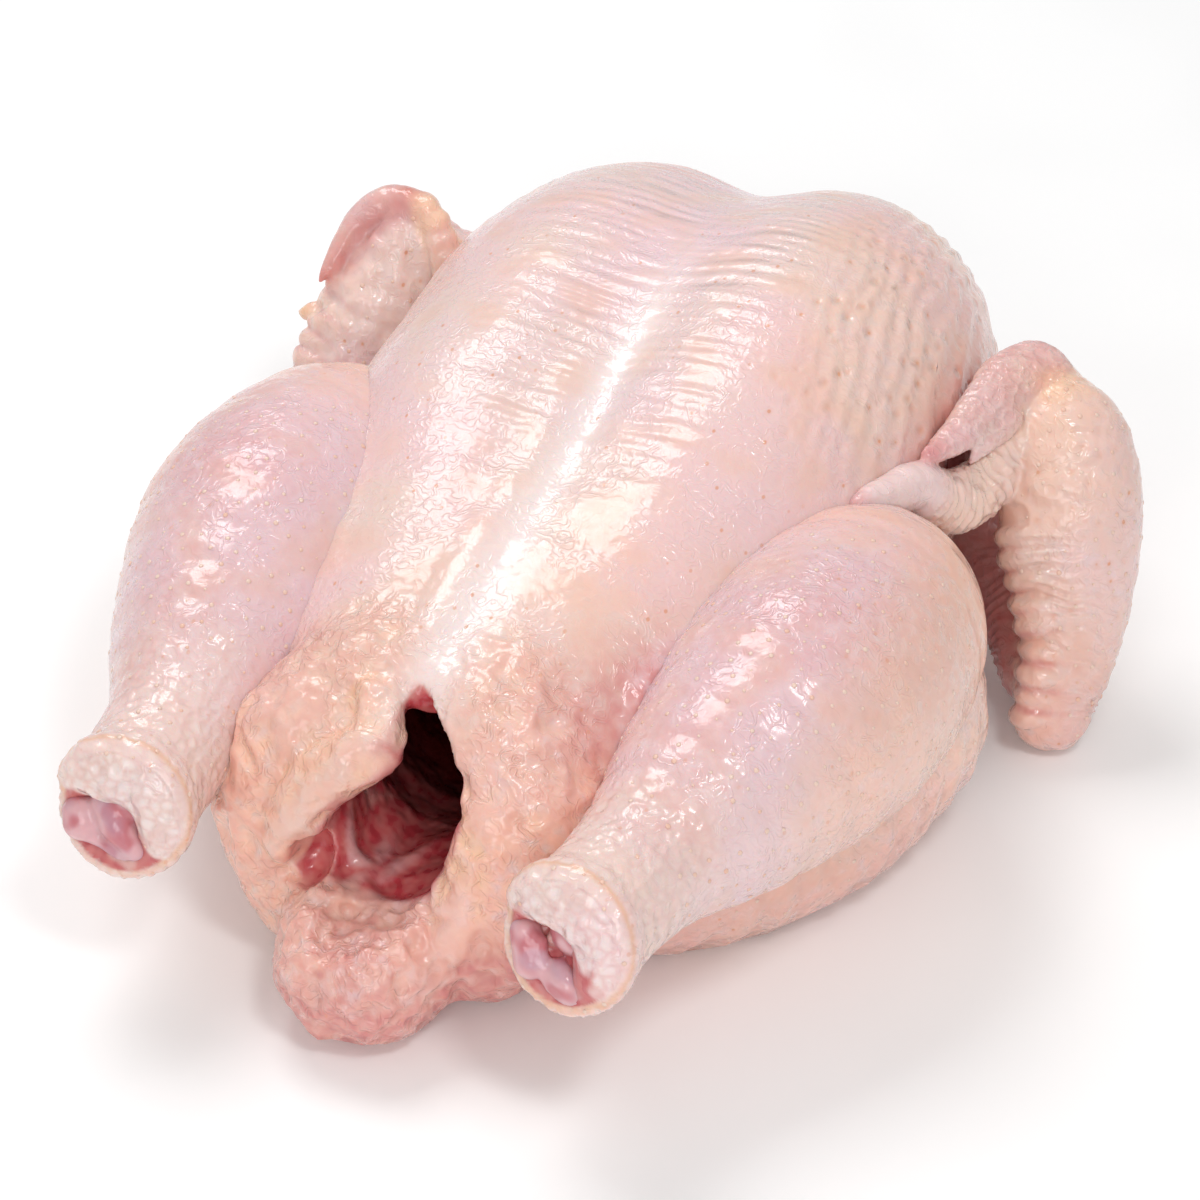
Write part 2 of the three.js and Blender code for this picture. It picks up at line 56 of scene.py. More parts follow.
# Forms are worked out in millimetres in the bird's own coordinates: the breast bone lies over
# x = 0, the middle of the tail is at y = 0, +Y runs to the neck and the bird rests on z = 0.
# FOOTPRINT_MIDDLE is the place of the frame's origin in those coordinates.
FOOTPRINT_MIDDLE = (6.43, 118.36, 0.0)
RIGHT = 1
LEFT = -1
SIDES = (RIGHT, LEFT)
SIDE_NAME = {RIGHT: "right", LEFT: "left"}
FAR = 12.0  # distances are kept up to this far from a surface
HARD = 0.1  # the blend of a first form, which has nothing to join yet
BOARD_TOP = ((0, 0, 0), (0, 0, -1))  # a point on the board, and the way out of the bird there

# Breast and trunk
TRUNK_BOX = ((-100, -24, -6), (100, 258, 118))
TRUNK = ((0, 124, 36), (60, 112, 40))
BREAST_RADII = (46, 74, 50)
BREAST_Y = 171
BREAST_X = {RIGHT: 26.5, LEFT: 24}
BREAST_Z = {RIGHT: 56, LEFT: 51.5}
BREAST_TOE_IN = math.radians(1)
BREAST_BLEND = 15
BELLY = ((13, 54, 42, 30), (19, 84, 47, 35), (25, 126, 52, 40))
BELLY_BLEND = 14
KEEL = ((0, 46, 64.5, 6), (0, 70, 71, 5.5), (0, 100, 78, 5), (0, 125, 82, 4))
KEEL_BLEND = 8
NECK_SKIN = ((0, 228, 36, 20), (22, 224, 32, 18), (38, 212, 27, 16))
NECK_BLEND = 12

# Legs, as stations of x, y, z and radius on a bird whose legs lie alike
THIGH = ((38, 46, 17, 18), (58, 67, 19, 24), (71, 92, 23, 29), (77, 112, 30, 31))
THIGH_BLEND = 9
DRUMSTICK = (
    (76, 126, 50, 22), (79, 108, 54, 29), (77, 82, 54, 31), (70, 52, 51, 24.5),
    (63, 26, 48.5, 16.5), (59, 6, 48, 14.5), (57, -7, 48, 16),
)
KNEE_Y = 120
KNEE_IN = {RIGHT: 9, LEFT: 18}
HOCK_IN = {RIGHT: 3.5, LEFT: 6.5}
HOCK_LIFT = {RIGHT: 2.5, LEFT: 0}
CUT_TILT = 0.38
SHIN = ((76, 116, 54, 8), (77, 98, 54.5, 6), (75, 76, 54, 4.4), (67, 40, 50, 4.2), (60, 12, 48, 5),
        (57.8, -1, 48, 6))
KNUCKLE_BLEND = 1.6
# The fold of skin that runs from the breast over the right knee
WEB = ((43, 91, 74, 1.2), (50, 102, 77, 1.6), (56, 111, 77.3, 2), (63, 120, 75.6, 3), (69, 129, 72, 4))
WEB_BLEND = 4

# Round the vent
FLAP = ((14, 42, 60, 13), (26, 31, 49, 15), (30, 27, 33, 15), (21, 22, 15, 12))
FLAP_BLEND = 6
TAIL = ((0, 34, 18, 17), (0, 15, 17, 18), (0, 4, 16, 16))
TAIL_NARROWING = 0.85
TAIL_BLEND = 5
HOLLOW = ((1, 34, 46, 15), (0, 70, 44, 27), (0, 120, 46, 33), (0, 165, 48, 30))
HOLLOW_BLEND = 4
MOUTH_DEPTH_Y = 48
MOUTH_BLEND = 2.5
MOUTH = (
    (0, 68), (8.5, 64), (15.5, 58.5), (18.3, 51.5), (18.2, 44), (16.5, 35), (8, 28), (-4, 24),
    (-10.5, 28.5), (-13.4, 38), (-13.6, 45), (-10.7, 49), (-5.3, 52.5), (-2, 57), (-3, 63),
)
# Rolls of fat skin along the edges of the mouth
LIPS = (
    ((-9, 31, 66, 4), (-5, 26, 61, 5), (-8.5, 21.5, 56.5, 6), (-15, 18.5, 52, 6), (-19.5, 16, 44, 5.5),
     (-22, 14, 35, 5)),
    ((22.5, 25, 58, 3.5), (24.2, 20, 51, 5.5), (23, 16.5, 43, 6), (20, 14.5, 34, 5.5), (18.5, 11, 25, 5)),
)
LIP_BLEND = 3
POCKET = ((-16.5, 13, 33), (4.5, 7, 6.5))
POCKET_BLEND = 1.5
# Pale membranes that run over the floor of the hollow and up its left wall
MEMBRANES = (
    ((-8, 9, 27, 2), (-6.5, 15, 25.4, 2.2), (-6, 23, 25, 2), (-7.5, 33, 25.4, 1.3), (-9, 42, 26, 0.6)),
    ((-6, 20, 25, 1.9), (-11, 21.5, 31, 1.2), (-14.5, 26, 38, 0.6)),
    ((-5, 17, 24.6, 1.9), (-0.5, 27, 25, 1.3), (4, 36, 26, 0.6)),
    ((-4, 13, 25, 1.8), (2, 12, 25.6, 1.5), (10, 12, 28.2, 1.3), (15.5, 12, 33, 1.1)),
)
MEMBRANE_BLEND = 4
# A shiny fold of film that runs down the right flank, beside the drumstick
FLANK_FOLD = (
    (46.8, 79.2, 69.6, 0.8), (44.5, 73, 68.6, 1.6), (41.5, 64.5, 66.6, 2), (40.6, 57, 64, 2.2),
    (42, 50.5, 57.4, 2), (43.4, 46, 51.8, 1.2),
)
FLANK_BLEND = 1.2
CREST = ((-1, 37, 65, 3.4), (4, 40, 63, 3), (2, 48, 62, 2.5))
CREST_BLEND = 1.5
# Soft spots of colour on the trunk: x, y, z, radius and strength
FATTY_SPOTS = ((14, 74, 68, 24, 0.5),)
# Most rosy spots are the skin's own flush; the two at x = 70, y = 160 and 176, are painted shade in the
# groove under the right wing's thumb.
ROSY_AND_SHADE_SPOTS = (
    (38, 51, 63, 14, 0.65), (44, 64, 63, 12, 0.6), (3, -4, 24, 9, 0.45), (-8, 0, 12, 9, 0.35),
    (70, 176, 66, 17, 0.6), (-52, 130, 60, 22, 0.3), (-12, 62, 66, 9, 0.5), (70, 160, 62, 14, 0.7),
    (-24, 44, 62, 8, 0.5),
)
LILAC_SPOTS = ((-30, 120, 88, 26, 0.3), (8, 120, 92, 16, 0.4), (50, 108, 74, 12, 0.5),
               (-48, 190, 84, 30, 0.3))
# Painted shade over real raw red: these spots paint the groove between the right wing's thumb and the breast
# dark red.
THUMB_GROOVE_RED_SHADE_SPOTS = ((71, 164, 69, 8, 0.85), (72, 178, 71, 9, 0.7))
THUMB_GROOVE_SHADE_SPOTS = ((70, 162, 70, 8, 0.3),)
# The dent under the tip of the tail
TAIL_DENT = ((-3, -11.5, 8, 3, 1),)

# Wings
WING_BOX = {RIGHT: ((50, 120, -4), (122, 236, 102)), LEFT: ((-120, 140, -4), (-48, 236, 102))}
FOREARM_THIN_WAY = (0.35, -0.9, -0.25)
FOREARM_THINNING = 1.35
FOREARM_BLEND = 5
THUMB_THIN_WAY = (0.3, -0.3, 0.9)
THUMB_THINNING = 1.5
SPUR_THINNING = 1.3
ARM = {
    RIGHT: ((52, 206, 44, 19), (77, 190, 25, 12.5), (95, 165, 12.5, 9)),
    LEFT: ((-52, 208, 46, 22), (-76, 184, 26, 17), (-90, 160, 14, 11)),
}
FOREARM = {
    RIGHT: ((103, 153, 8.3, 8.6), (103.5, 162.3, 26.3, 11.8), (98, 173.4, 47, 16.5), (91.5, 184, 62, 16),
            (84, 191, 69, 11)),
    LEFT: ((-91, 154, 10, 9.5), (-89.5, 162, 26, 13), (-87, 173.5, 47, 14), (-82, 185, 66, 12),
           (-79, 189, 74, 8)),
}
RIGHT_HAND = (
    (88, 186, 70, 7), (82.5, 176, 65.2, 6), (79, 166, 61.5, 6.6), (76.5, 158, 60.4, 7), (73.8, 150.5, 64, 7),
    (69.9, 143.3, 71.6, 5.8), (67.3, 134.8, 74.4, 4.8), (65.1, 128.6, 76.3, 3.6), (63.6, 124.7, 77, 2.4),
)
RIGHT_RIDGE = ((90, 184, 75, 3), (84.6, 176.5, 71, 2.6), (79.4, 166.5, 67.6, 2.4), (75.4, 156, 67.6, 2.2))
RIGHT_THUMB = (
    (81, 190, 76, 9), (77.2, 182, 77.5, 7.6), (75.4, 173, 76.8, 6), (73.9, 163, 76.1, 4.6),
    (72.1, 155.5, 76, 3.5), (70.7, 149.5, 76.8, 2),
)
RIGHT_SPUR = ((79.9, 173, 74.5, 4.4), (78.8, 164.5, 73, 2.6), (77.3, 158, 70.9, 0.7))
LEFT_PATAGIUM = ((-79, 188, 72, 6), (-72, 190, 68, 7), (-64, 198, 58, 11))
LEFT_THUMB = ((-78, 188, 80, 5), (-84, 187, 82.2, 3.9), (-88.5, 184.5, 80, 3.9), (-91.6, 181.5, 76, 3.7),
              (-93.8, 177, 71.2, 3), (-95, 173, 67.6, 2.2), (-96.3, 170, 65, 0.8))
LEFT_EDGE = ((-79.5, 187, 83.7, 2.8), (-76, 187, 83.2, 3.3), (-72.5, 186, 79.9, 3.7), (-70, 185, 74.8, 3.9),
             (-67.5, 184, 68, 4.2))
LEFT_TENDONS = (
    ((-82.5, 184, 80, 1), (-80.8, 177.5, 72, 1.8), (-81, 173.3, 62, 2), (-85.5, 168.6, 52, 1.8),
     (-88, 164.6, 43, 1.5)),
    ((-76, 186, 78, 1.4), (-74.5, 182, 70, 2), (-75.5, 178, 60, 2), (-78, 175, 50, 1.4)),
    ((-86, 182, 72, 1), (-87.5, 176, 64, 1.7), (-91.5, 170, 54, 1.5)),
)
SPURS = (((-98.5, 170.5, 55, 2), (-103.4, 171, 54, 0.5)), ((-98, 168, 46, 2), (-102.6, 168, 45, 0.5)))
LEFT_EDGE_SPACING = 4.4
# Soft spots of colour on the wings: x, y, z, radius and strength
WING_TIPS = {
    RIGHT: ((70.5, 149, 76.8, 3.8, 1), (63.2, 124, 77.6, 3.2, 1), (72, 156, 70, 4, 0.5),
            (77, 158, 70.5, 2, 0.4)),
    LEFT: ((-96, 170.5, 65.5, 3.6, 1), (-91.5, 174, 70, 3.8, 0.9), (-88, 178, 75, 4, 0.9),
           (-85, 181.5, 79, 4, 0.8), (-79.5, 187, 87, 3.6, 1), (-80.5, 183, 82, 3.6, 0.7)),
}
RIGHT_WRIST = ((86, 186, 80, 9, 0.8), (80, 178, 73, 6, 0.5))
# Millimetres along the right hand, from the wrist, where its ribbed band ends and its finger starts
BAND_END = 44
FINGER_START = 52
BEADED_BELOW = {RIGHT: 46, LEFT: 64}
BEAD_SPACING = 5.2
PLEAT_SPACING = 2.6
# Each pocket at a forearm's rear edge: degrees round from the edge to the front, how deep its middle
# lies under the skin, and radius
POCKETS = {
    RIGHT: ((8, 0.6, 2.6), (27, 0.1, 3), (46, 0.4, 2.7), (64, 1, 1.9), (82, 1.5, 1.2)),
    LEFT: ((5, 0.7, 2.6), (25, 1.2, 2.3), (45, 1.9, 1.6)),
}
POCKET_EDGE_BLEND = 0.6

# Rosy spots of the drumsticks: x, y, z, radius and strength
DRUMSTICK_ROSE = ((68, 74, 82, 24, 0.5), (60, 40, 70, 14, 0.4), (85, 100, 70, 20, 0.25),
                  (62, 20, 62, 9, 0.45))

# Cut hocks, in millimetres on the cut's own axes: to the right, up, out of the cut, radius
CUFF = (
    ((-12, 6.5, -1.6, 2.2), (-8.5, 10, -1.4, 3.4), (-1.5, 11.4, -1, 3.8), (5, 10, -1, 3.9),
     (9.6, 5.5, -1.2, 3.8), (11, 0, -1.6, 3.2), (9.3, -5.2, -2, 1.9)),
    ((-9.5, 6.2, -1.6, 2.2), (-5, 6.4, -1, 3.4), (0, 5.8, -0.8, 3.6), (4.8, 4.6, -0.9, 3.5),
     (7.6, 0.8, -1.3, 3), (7.8, -3.6, -1.8, 1.6)),
)
CUFF_BLEND = 5
CUT_BACK = 1.2
CUT_ROUNDING = 2.2
TISSUE_BLEND = 1.5
BOWL = ((-1, -0.5, 2.4), (12.2, 12.6, 6))
RECESS = ((-3.4, 0.4, -1), (6.6, 3.8, 4.6))
KNUCKLES = {
    RIGHT: (
        ((-10.3, -1.6, -2.6, 3.4), (-7.6, -7.6, -2.6, 3.8)),
        ((-1.2, -6.6, -3, 2.3), (1.2, -8.4, -2.1, 3), (3.8, -10.6, -2.4, 2.5)),
        ((-6.2, -2.2, -2.1, 1.2), (-4.4, -6.6, -1.4, 1.4), (-1.6, -10.4, -1.5, 1.3), (2.2, -12.8, -2, 1)),
    ),
    LEFT: (
        ((-10.2, -2.6, -2.8, 4), (-9.4, -4.6, -2.5, 4.3)),
        ((-4.9, 0.5, -2.6, 2.9), (-1.2, -3.4, -1.8, 3.6), (3.2, -7.9, -2.4, 2.8)),
        ((-4.6, 3.6, -2.6, 1.7), (-4.2, 3, -2.4, 1.9)),
        ((-6.4, -7.6, -2.4, 1.5), (-2.6, -8.6, -2, 1.5), (1.4, -11.4, -2.2, 1.1)),
    ),
}
TISSUE = {
    RIGHT: (
        ((3.4, -0.6, -3.4, 2.4), (5.4, -4, -3, 2.7), (5.6, -9, -3, 2.1)),
        ((-4, -0.9, -3.4, 1.5), (-2.2, -0.4, -3.4, 1.3)),
        ((-6.5, -11, -3, 1.6), (-1, -13, -3, 1.6)),
    ),
    LEFT: (
        ((2, 4.2, -3.2, 2.4), (5, 1.5, -3, 2.9), (6, -3.4, -3, 2.3)),
        ((-4.6, 3.2, -3.2, 2), (-3.8, 3, -3, 1.8)),
        ((-1, -9.4, -2.8, 1.7), (2.8, -11.4, -2.2, 1.2)),
    ),
}


# Numbers

def smooth_step(value, low, high):
    """0 at low, 1 at high and smooth between. low may be the higher of the two."""
    t = np.clip((value-low)/(high-low), 0, 1)
    return t*t*(3-2*t)


def hump(value, middle, width):
    """1 at the middle, falling off smoothly over the width."""
    return np.exp(-((value-middle)/width)**2)


def joined(a, b, k):
    """Two distances joined with a fillet about k wide."""
    h = np.maximum(k-np.abs(a-b), 0)/k
    return np.minimum(a, b)-h*h*(k*0.25)


def common(a, b, k):
    """What is inside both distances, with an edge rounded about k wide."""
    return -joined(-a, -b, k)


def spline(stations, steps):
    """A smooth line through rows of numbers."""
    p = np.array(stations, float)
    p = np.vstack([2*p[0]-p[1], p, 2*p[-1]-p[-2]])
    rows = []
    for i in range(1, len(p)-2):
        a, b, c, d = p[i-1:i+3]
        for t in np.arange(steps)/steps:
            rows.append(0.5*(2*b+(c-a)*t+(2*a-5*b+4*c-d)*t**2+(3*b-a-3*c+d)*t**3))
    return np.array(rows+[p[-2]])


def evenly(path, spacing):
    """Places along a smooth path, about so far apart."""
    line = spline(path, 12)
    length = np.concatenate([[0], np.cumsum(np.linalg.norm(np.diff(line[:, :3], axis=0), axis=1))])
    stops = np.linspace(0, length[-1], int(round(length[-1]/spacing))+1)
    return np.stack([np.interp(stops, length, line[:, n]) for n in range(line.shape[1])], 1)


class Form:
    """A shape: the box that holds it, and a function of x, y, z that gives the distance to it."""

    def __init__(self, low, high, distance):
        self.low = np.array(low, float)
        self.high = np.array(high, float)
        self.distance = distance

    def at(self, points):
        return self.distance(points[:, 0], points[:, 1], points[:, 2])


def ellipsoid(centre, radii, axes=None):
    """An ellipsoid. axes is a matrix whose columns are its own axes."""
    centre, radii = np.array(centre, float), np.array(radii, float)
    axes = np.eye(3) if axes is None else np.array(axes)
    reach = np.abs(axes)@radii

    def distance(x, y, z):
        offset = (x-centre[0], y-centre[1], z-centre[2])
        own = [sum(offset[i]*axes[i, n] for i in range(3)) for n in range(3)]
        near_by = np.sqrt(sum((own[n]/radii[n])**2 for n in range(3)))
        slope = np.sqrt(sum((own[n]/radii[n]**2)**2 for n in range(3)))
        return near_by*(near_by-1)/np.maximum(slope, 1e-6)
    return Form(centre-reach, centre+reach, distance)


def limb(stations, flat=None, squash=1.0, steps=3):
    """Round cones along a smooth line through stations of x, y, z and radius."""
    line = spline(stations, steps)
    thin = np.array(flat, float)/np.linalg.norm(flat) if flat is not None else np.zeros(3)

    def distance(x, y, z):
        best = None
        for a, b in zip(line[:-1], line[1:]):
            ab = b[:3]-a[:3]
            dx, dy, dz = x-a[0], y-a[1], z-a[2]
            t = np.clip((dx*ab[0]+dy*ab[1]+dz*ab[2])/(ab@ab), 0, 1)
            dx, dy, dz = dx-t*ab[0], dy-t*ab[1], dz-t*ab[2]
            if squash != 1:
                across = (dx*thin[0]+dy*thin[1]+dz*thin[2])*(squash-1)
                dx, dy, dz = dx+across*thin[0], dy+across*thin[1], dz+across*thin[2]
            d = np.sqrt(dx*dx+dy*dy+dz*dz)-(a[3]+t*(b[3]-a[3]))
            best = d if best is None else np.minimum(best, d)
        return best
    reach = line[:, 3:4]
    return Form((line[:, :3]-reach).min(0), (line[:, :3]+reach).max(0), distance)


def prism(outline, y_end):
    """A prism along Y, from far in front to y_end, whose outline is a list of x and z."""
    corners = np.array(outline, float)

    def distance(x, y, z):
        nearest = inside = None
        for (ax, az), (bx, bz) in zip(corners, np.roll(corners, -1, axis=0)):
            ex, ez = bx-ax, bz-az
            t = np.clip(((x-ax)*ex+(z-az)*ez)/(ex*ex+ez*ez), 0, 1)
            d = (x-ax-t*ex)**2+(z-az-t*ez)**2
            crosses = ((az <= z) != (bz <= z)) & (x < ax+(z-az)/(ez or 1e-9)*ex)
            nearest = d if nearest is None else np.minimum(nearest, d)
            inside = crosses if inside is None else inside ^ crosses
        return common(np.where(inside, -1, 1)*np.sqrt(nearest), y-y_end, 4)
    low, high = corners.min(0), corners.max(0)
    return Form((low[0], -40, low[1]), (high[0], y_end, high[1]), distance)


def onto(form, points, depth):
    """The points moved to lie so deep under a form's surface."""
    points = np.array(points, float)
    for _ in range(4):
        d = form.at(points)
        slope = np.stack([form.at(points+0.2*axis)-d for axis in np.eye(3)], 1)
        slope /= np.linalg.norm(slope, axis=1, keepdims=True)
        points = points-slope*(d+depth)[:, None]
    return points


def mirrored(stations, side):
    return tuple((side*s[0], *s[1:]) for s in stations)


def as_leg_lies(stations, side):
    """Moves leg stations to where that side's leg lies."""
    moved = []
    for x, y, z, r in stations:
        t = min(max(y/KNEE_Y, 0), 1)
        inward = HOCK_IN[side]*(1-t)+KNEE_IN[side]*t
        moved.append((side*(x-inward), y, z+HOCK_LIFT[side]*(1-t), r))
    return tuple(moved)


def hock_cut(side):
    """The middle of a leg's cut face, and its axes as columns: right, up and out."""
    before, last = (np.array(s[:3]) for s in as_leg_lies(DRUMSTICK, side)[-2:])
    out = (last-before)/np.linalg.norm(last-before)+np.array((0, 0, CUT_TILT))
    out /= np.linalg.norm(out)
    up = np.array((0, 0, 1))-out[2]*out
    up /= np.linalg.norm(up)
    return last, np.stack([np.cross(up, out), up, out], 1)


def at_hock(side, rows):
    """Stations on a hock cut's own axes, moved to the bird's."""
    middle, axes = hock_cut(side)
    return [(*(middle+axes@np.array(row[:3])), *row[3:]) for row in rows]


class Space:
    """A block of evenly spaced points that holds the distance to what has been joined in it."""

    def __init__(self, low, high, step):
        self.low = np.array(low, float)
        self.step = step
        self.count = np.ceil((np.array(high)-self.low)/step).astype(int)+1
        self.distance = np.full(self.count, FAR, np.float32)

    def window(self, form, margin):
        first = np.floor((form.low-margin-self.low)/self.step).astype(int).clip(0)
        last = np.ceil((form.high+margin-self.low)/self.step).astype(int).clip(0)+1
        part = tuple(slice(a, b) for a, b in zip(first, last))
        grid = []
        for n in range(3):
            line = self.low[n]+self.step*np.arange(self.count[n], dtype=np.float32)
            shape = [1, 1, 1]
            shape[n] = -1
            grid.append(line[part[n]].reshape(shape))
        return part, grid

    def join(self, form, blend):
        part, grid = self.window(form, blend+2*self.step)
        if self.distance[part].size:
            self.distance[part] = joined(self.distance[part], form.distance(*grid), blend)

    def join_limbs(self, limbs, blend):
        for stations in limbs:
            self.join(limb(stations), blend)

    def carve(self, form, blend):
        part, grid = self.window(form, blend+2*self.step)
        self.distance[part] = common(self.distance[part], -form.distance(*grid), blend)

    def cut(self, point, facing, blend):
        """Takes off what lies beyond a plane."""
        whole = Form(self.low, self.low+self.step*self.count, None)
        _, (x, y, z) = self.window(whole, 0)
        beyond = (x-point[0])*facing[0]+(y-point[1])*facing[1]+(z-point[2])*facing[2]
        self.distance = common(self.distance, beyond.astype(np.float32), blend)

    def refined(self):
        """The distances at half the spacing, smooth between the points."""
        d = self.distance
        for axis in range(3):
            d = np.moveaxis(d, axis, 0)
            fine = np.empty((2*len(d)-1, *d.shape[1:]), np.float32)
            fine[::2] = d
            fine[1::2] = (d[1:]+d[:-1])*0.5
            fine[1:-1] = fine[1:-1]*0.5+(fine[2:]+fine[:-2])*0.25
            d = np.moveaxis(fine, 0, axis)
        return d

    def surface(self):
        """Points and four-sided faces where the distance is zero."""
        grid = vdb.FloatGrid(FAR)
        grid.copyFromArray(np.ascontiguousarray(self.refined()))
        points, quads = grid.convertToQuads(0.0)
        return points.astype(np.float64)*(self.step/2)+self.low, quads[:, ::-1]


RIPPLE_GAIN = 1.6  # brings the noise to about -1 to 1
LOBULE_JITTER = 0.42
GRADIENTS = np.random.default_rng(7).normal(size=(256, 3))
GRADIENTS /= np.linalg.norm(GRADIENTS, axis=1, keepdims=True)


def scramble(cell, seed):
    """A number from 0 to 255 for each whole-number cell, the same on every run."""
    h = (cell[..., 0]*73856093) ^ (cell[..., 1]*19349663) ^ (cell[..., 2]*83492791) ^ (seed*40503)
    h = (h ^ (h >> 13))*1274126177 & 0x7fffffff
    return (h ^ (h >> 15)) & 255


def ripple(points, size, seed=0):
    """Smooth noise from about -1 to 1, with lumps about size millimetres apart."""
    q = points/size
    cell = np.floor(q).astype(np.int64)
    f = q-cell
    u = f*f*f*(f*(f*6-15)+10)
    total = np.zeros(len(points))
    for corner in np.ndindex(2, 2, 2):
        c = np.array(corner)
        weight = np.prod(np.where(c, u, 1-u), axis=1)
        total += weight*(GRADIENTS[scramble(cell+c, seed)]*(f-c)).sum(1)
    return total*RIPPLE_GAIN


def lobules(points, size, seed=0, seam=0.45):
    """Rounded cells about size millimetres across: 1 at a cell's middle, 0 at the seams between cells."""
    q = points/size
    cell = np.floor(q).astype(np.int64)
    first = np.full(len(points), 9.0)
    second = np.full(len(points), 9.0)
    for corner in np.ndindex(3, 3, 3):
        c = cell+np.array(corner)-1
        spot = c+0.5+GRADIENTS[scramble(c, seed)]*LOBULE_JITTER
        d = np.linalg.norm(q-spot, axis=1)
        second = np.minimum(second, np.maximum(first, d))
        first = np.minimum(first, d)
    return smooth_step(second-first, 0.0, seam)


def warped(points, size, amount, seed):
    """The points pushed about by noise, so that patterns laid on them wander."""
    return points+amount*np.stack([ripple(points, size, seed+n) for n in range(3)], 1)


def near(points, stations, inner, outer):
    """1 within inner millimetres of a limb's surface, 0 beyond outer, measured outward."""
    return smooth_step(limb(stations, steps=2).at(points), outer, inner)


def nearest_of(points, limbs, inner, outer):
    """The same for the nearest of several limbs."""
    return np.max([near(points, stations, inner, outer) for stations in limbs], axis=0)


def run_along(points, path):
    """How far along a path, in millimetres, the nearest place on it to each point is, and how far off."""
    line = spline(path, 6)[:, :3]
    best = np.full(len(points), 1e9)
    place = np.zeros(len(points))
    start = 0.0
    for a, b in zip(line[:-1], line[1:]):
        ab = b-a
        t = np.clip((points-a)@ab/(ab@ab), 0, 1)
        d = np.linalg.norm(points-a-t[:, None]*ab, axis=1)
        closer = d < best
        place = np.where(closer, start+t*np.linalg.norm(ab), place)
        best = np.minimum(best, d)
        start += np.linalg.norm(ab)
    return place, best


def patch(points, spots):
    """The sum of soft round spots, each x, y, z, radius and strength, at most 1."""
    total = np.zeros(len(points))
    for x, y, z, radius, strength in spots:
        d = np.linalg.norm(points-np.array((x, y, z)), axis=1)
        total += strength*np.exp(-(d/radius)**2)
    return total.clip(0, 1)


# Meshes

def linked(name, data):
    """A new object in the scene."""
    ob = bpy.data.objects.new(name, data)
    bpy.context.scene.collection.objects.link(ob)
    return ob


def finished_mesh(ob):
    """The mesh that an object's modifiers make of it, without the object."""
    result = bpy.data.meshes.new_from_object(ob.evaluated_get(bpy.context.evaluated_depsgraph_get()))
    bpy.data.objects.remove(ob)
    return result


def new_mesh(name, points, faces):
    """A mesh in metres, in the frame's coordinates, from points in the bird's own millimetres."""
    mesh = bpy.data.meshes.new(name)
    mesh.vertices.add(len(points))
    mesh.vertices.foreach_set("co", ((points-FOOTPRINT_MIDDLE)*MM).astype(np.float32).ravel())
    mesh.loops.add(faces.size)
    mesh.loops.foreach_set("vertex_index", faces.astype(np.int32).ravel())
    mesh.polygons.add(len(faces))
    mesh.polygons.foreach_set("loop_start", np.arange(0, faces.size, faces.shape[1], dtype=np.int32))
    mesh.update(calc_edges=True)
    mesh.validate()
    mesh.shade_smooth()
    return mesh


def own_points(mesh):
    """A mesh's points in the bird's own millimetres."""
    flat = np.empty(3*len(mesh.vertices), np.float32)
    mesh.vertices.foreach_get("co", flat)
    return flat.reshape(-1, 3).astype(float)/MM+FOOTPRINT_MIDDLE


def move_along_normals(mesh, heights):
    """Raises each point by its height in millimetres, and keeps it above the board."""
    normals = np.empty(3*len(mesh.vertices), np.float32)
    mesh.vertex_normals.foreach_get("vector", normals)
    moved = own_points(mesh)+normals.reshape(-1, 3)*heights[:, None]
    moved[:, 2] = np.maximum(moved[:, 2], 0)
    mesh.vertices.foreach_set("co", ((moved-FOOTPRINT_MIDDLE)*MM).astype(np.float32).ravel())
    mesh.update()


def thinned(mesh, triangles, detail=None):
    """The mesh with at most so many triangles. Points of high detail keep theirs longest."""
    ob = linked(mesh.name, mesh)
    now = 2*len(mesh.polygons)
    if now > triangles:
        modifier = ob.modifiers.new("Thin", "DECIMATE")
        modifier.ratio = triangles/now
        if detail is not None:
            group = ob.vertex_groups.new(name="free")
            steps = np.round(detail, 1)
            for level in np.unique(steps):
                group.add(np.nonzero(steps == level)[0].tolist(), float(1-0.9*level), "REPLACE")
            modifier.vertex_group = "free"
            modifier.vertex_group_factor = 1.0
    result = finished_mesh(ob)
    result.shade_smooth()
    return result


def put(name, mesh, material, slot, *nodes):
    """Puts a finished mesh in the scene as a piece that rides on the frame."""
    ob = linked(name, mesh)
    mesh.name = name
    mesh.materials.clear()
    mesh.materials.append(material)
    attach(ob, "root")
    if nodes:
        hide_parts(*nodes)
    return ob


def skinned(name, space, relief, masks, detail=None):
    """A piece of skin: the space's surface with its relief, thinned, with its masks as attributes."""
    points, faces = space.surface()
    mesh = new_mesh(name, points, faces)
    move_along_normals(mesh, relief(points))
    mesh = thinned(mesh, bpy.context.scene.chicken_sizes.triangles, detail and detail(points))
    for mask, values in masks(own_points(mesh)).items():
        attribute = mesh.attributes.new(mask, "FLOAT", "POINT")
        attribute.data.foreach_set("value", values.clip(0, 1).astype(np.float32))
    put(name, mesh, finish("raw_chicken_skin"), "skin", "chicken")
    domes = finish("skin_over_follicles")
    put(f"{name}_follicles", scattered(mesh, domes), domes, "skin")


FOLLICLE_FLATNESS = 0.34
FOLLICLE_SEED = 5


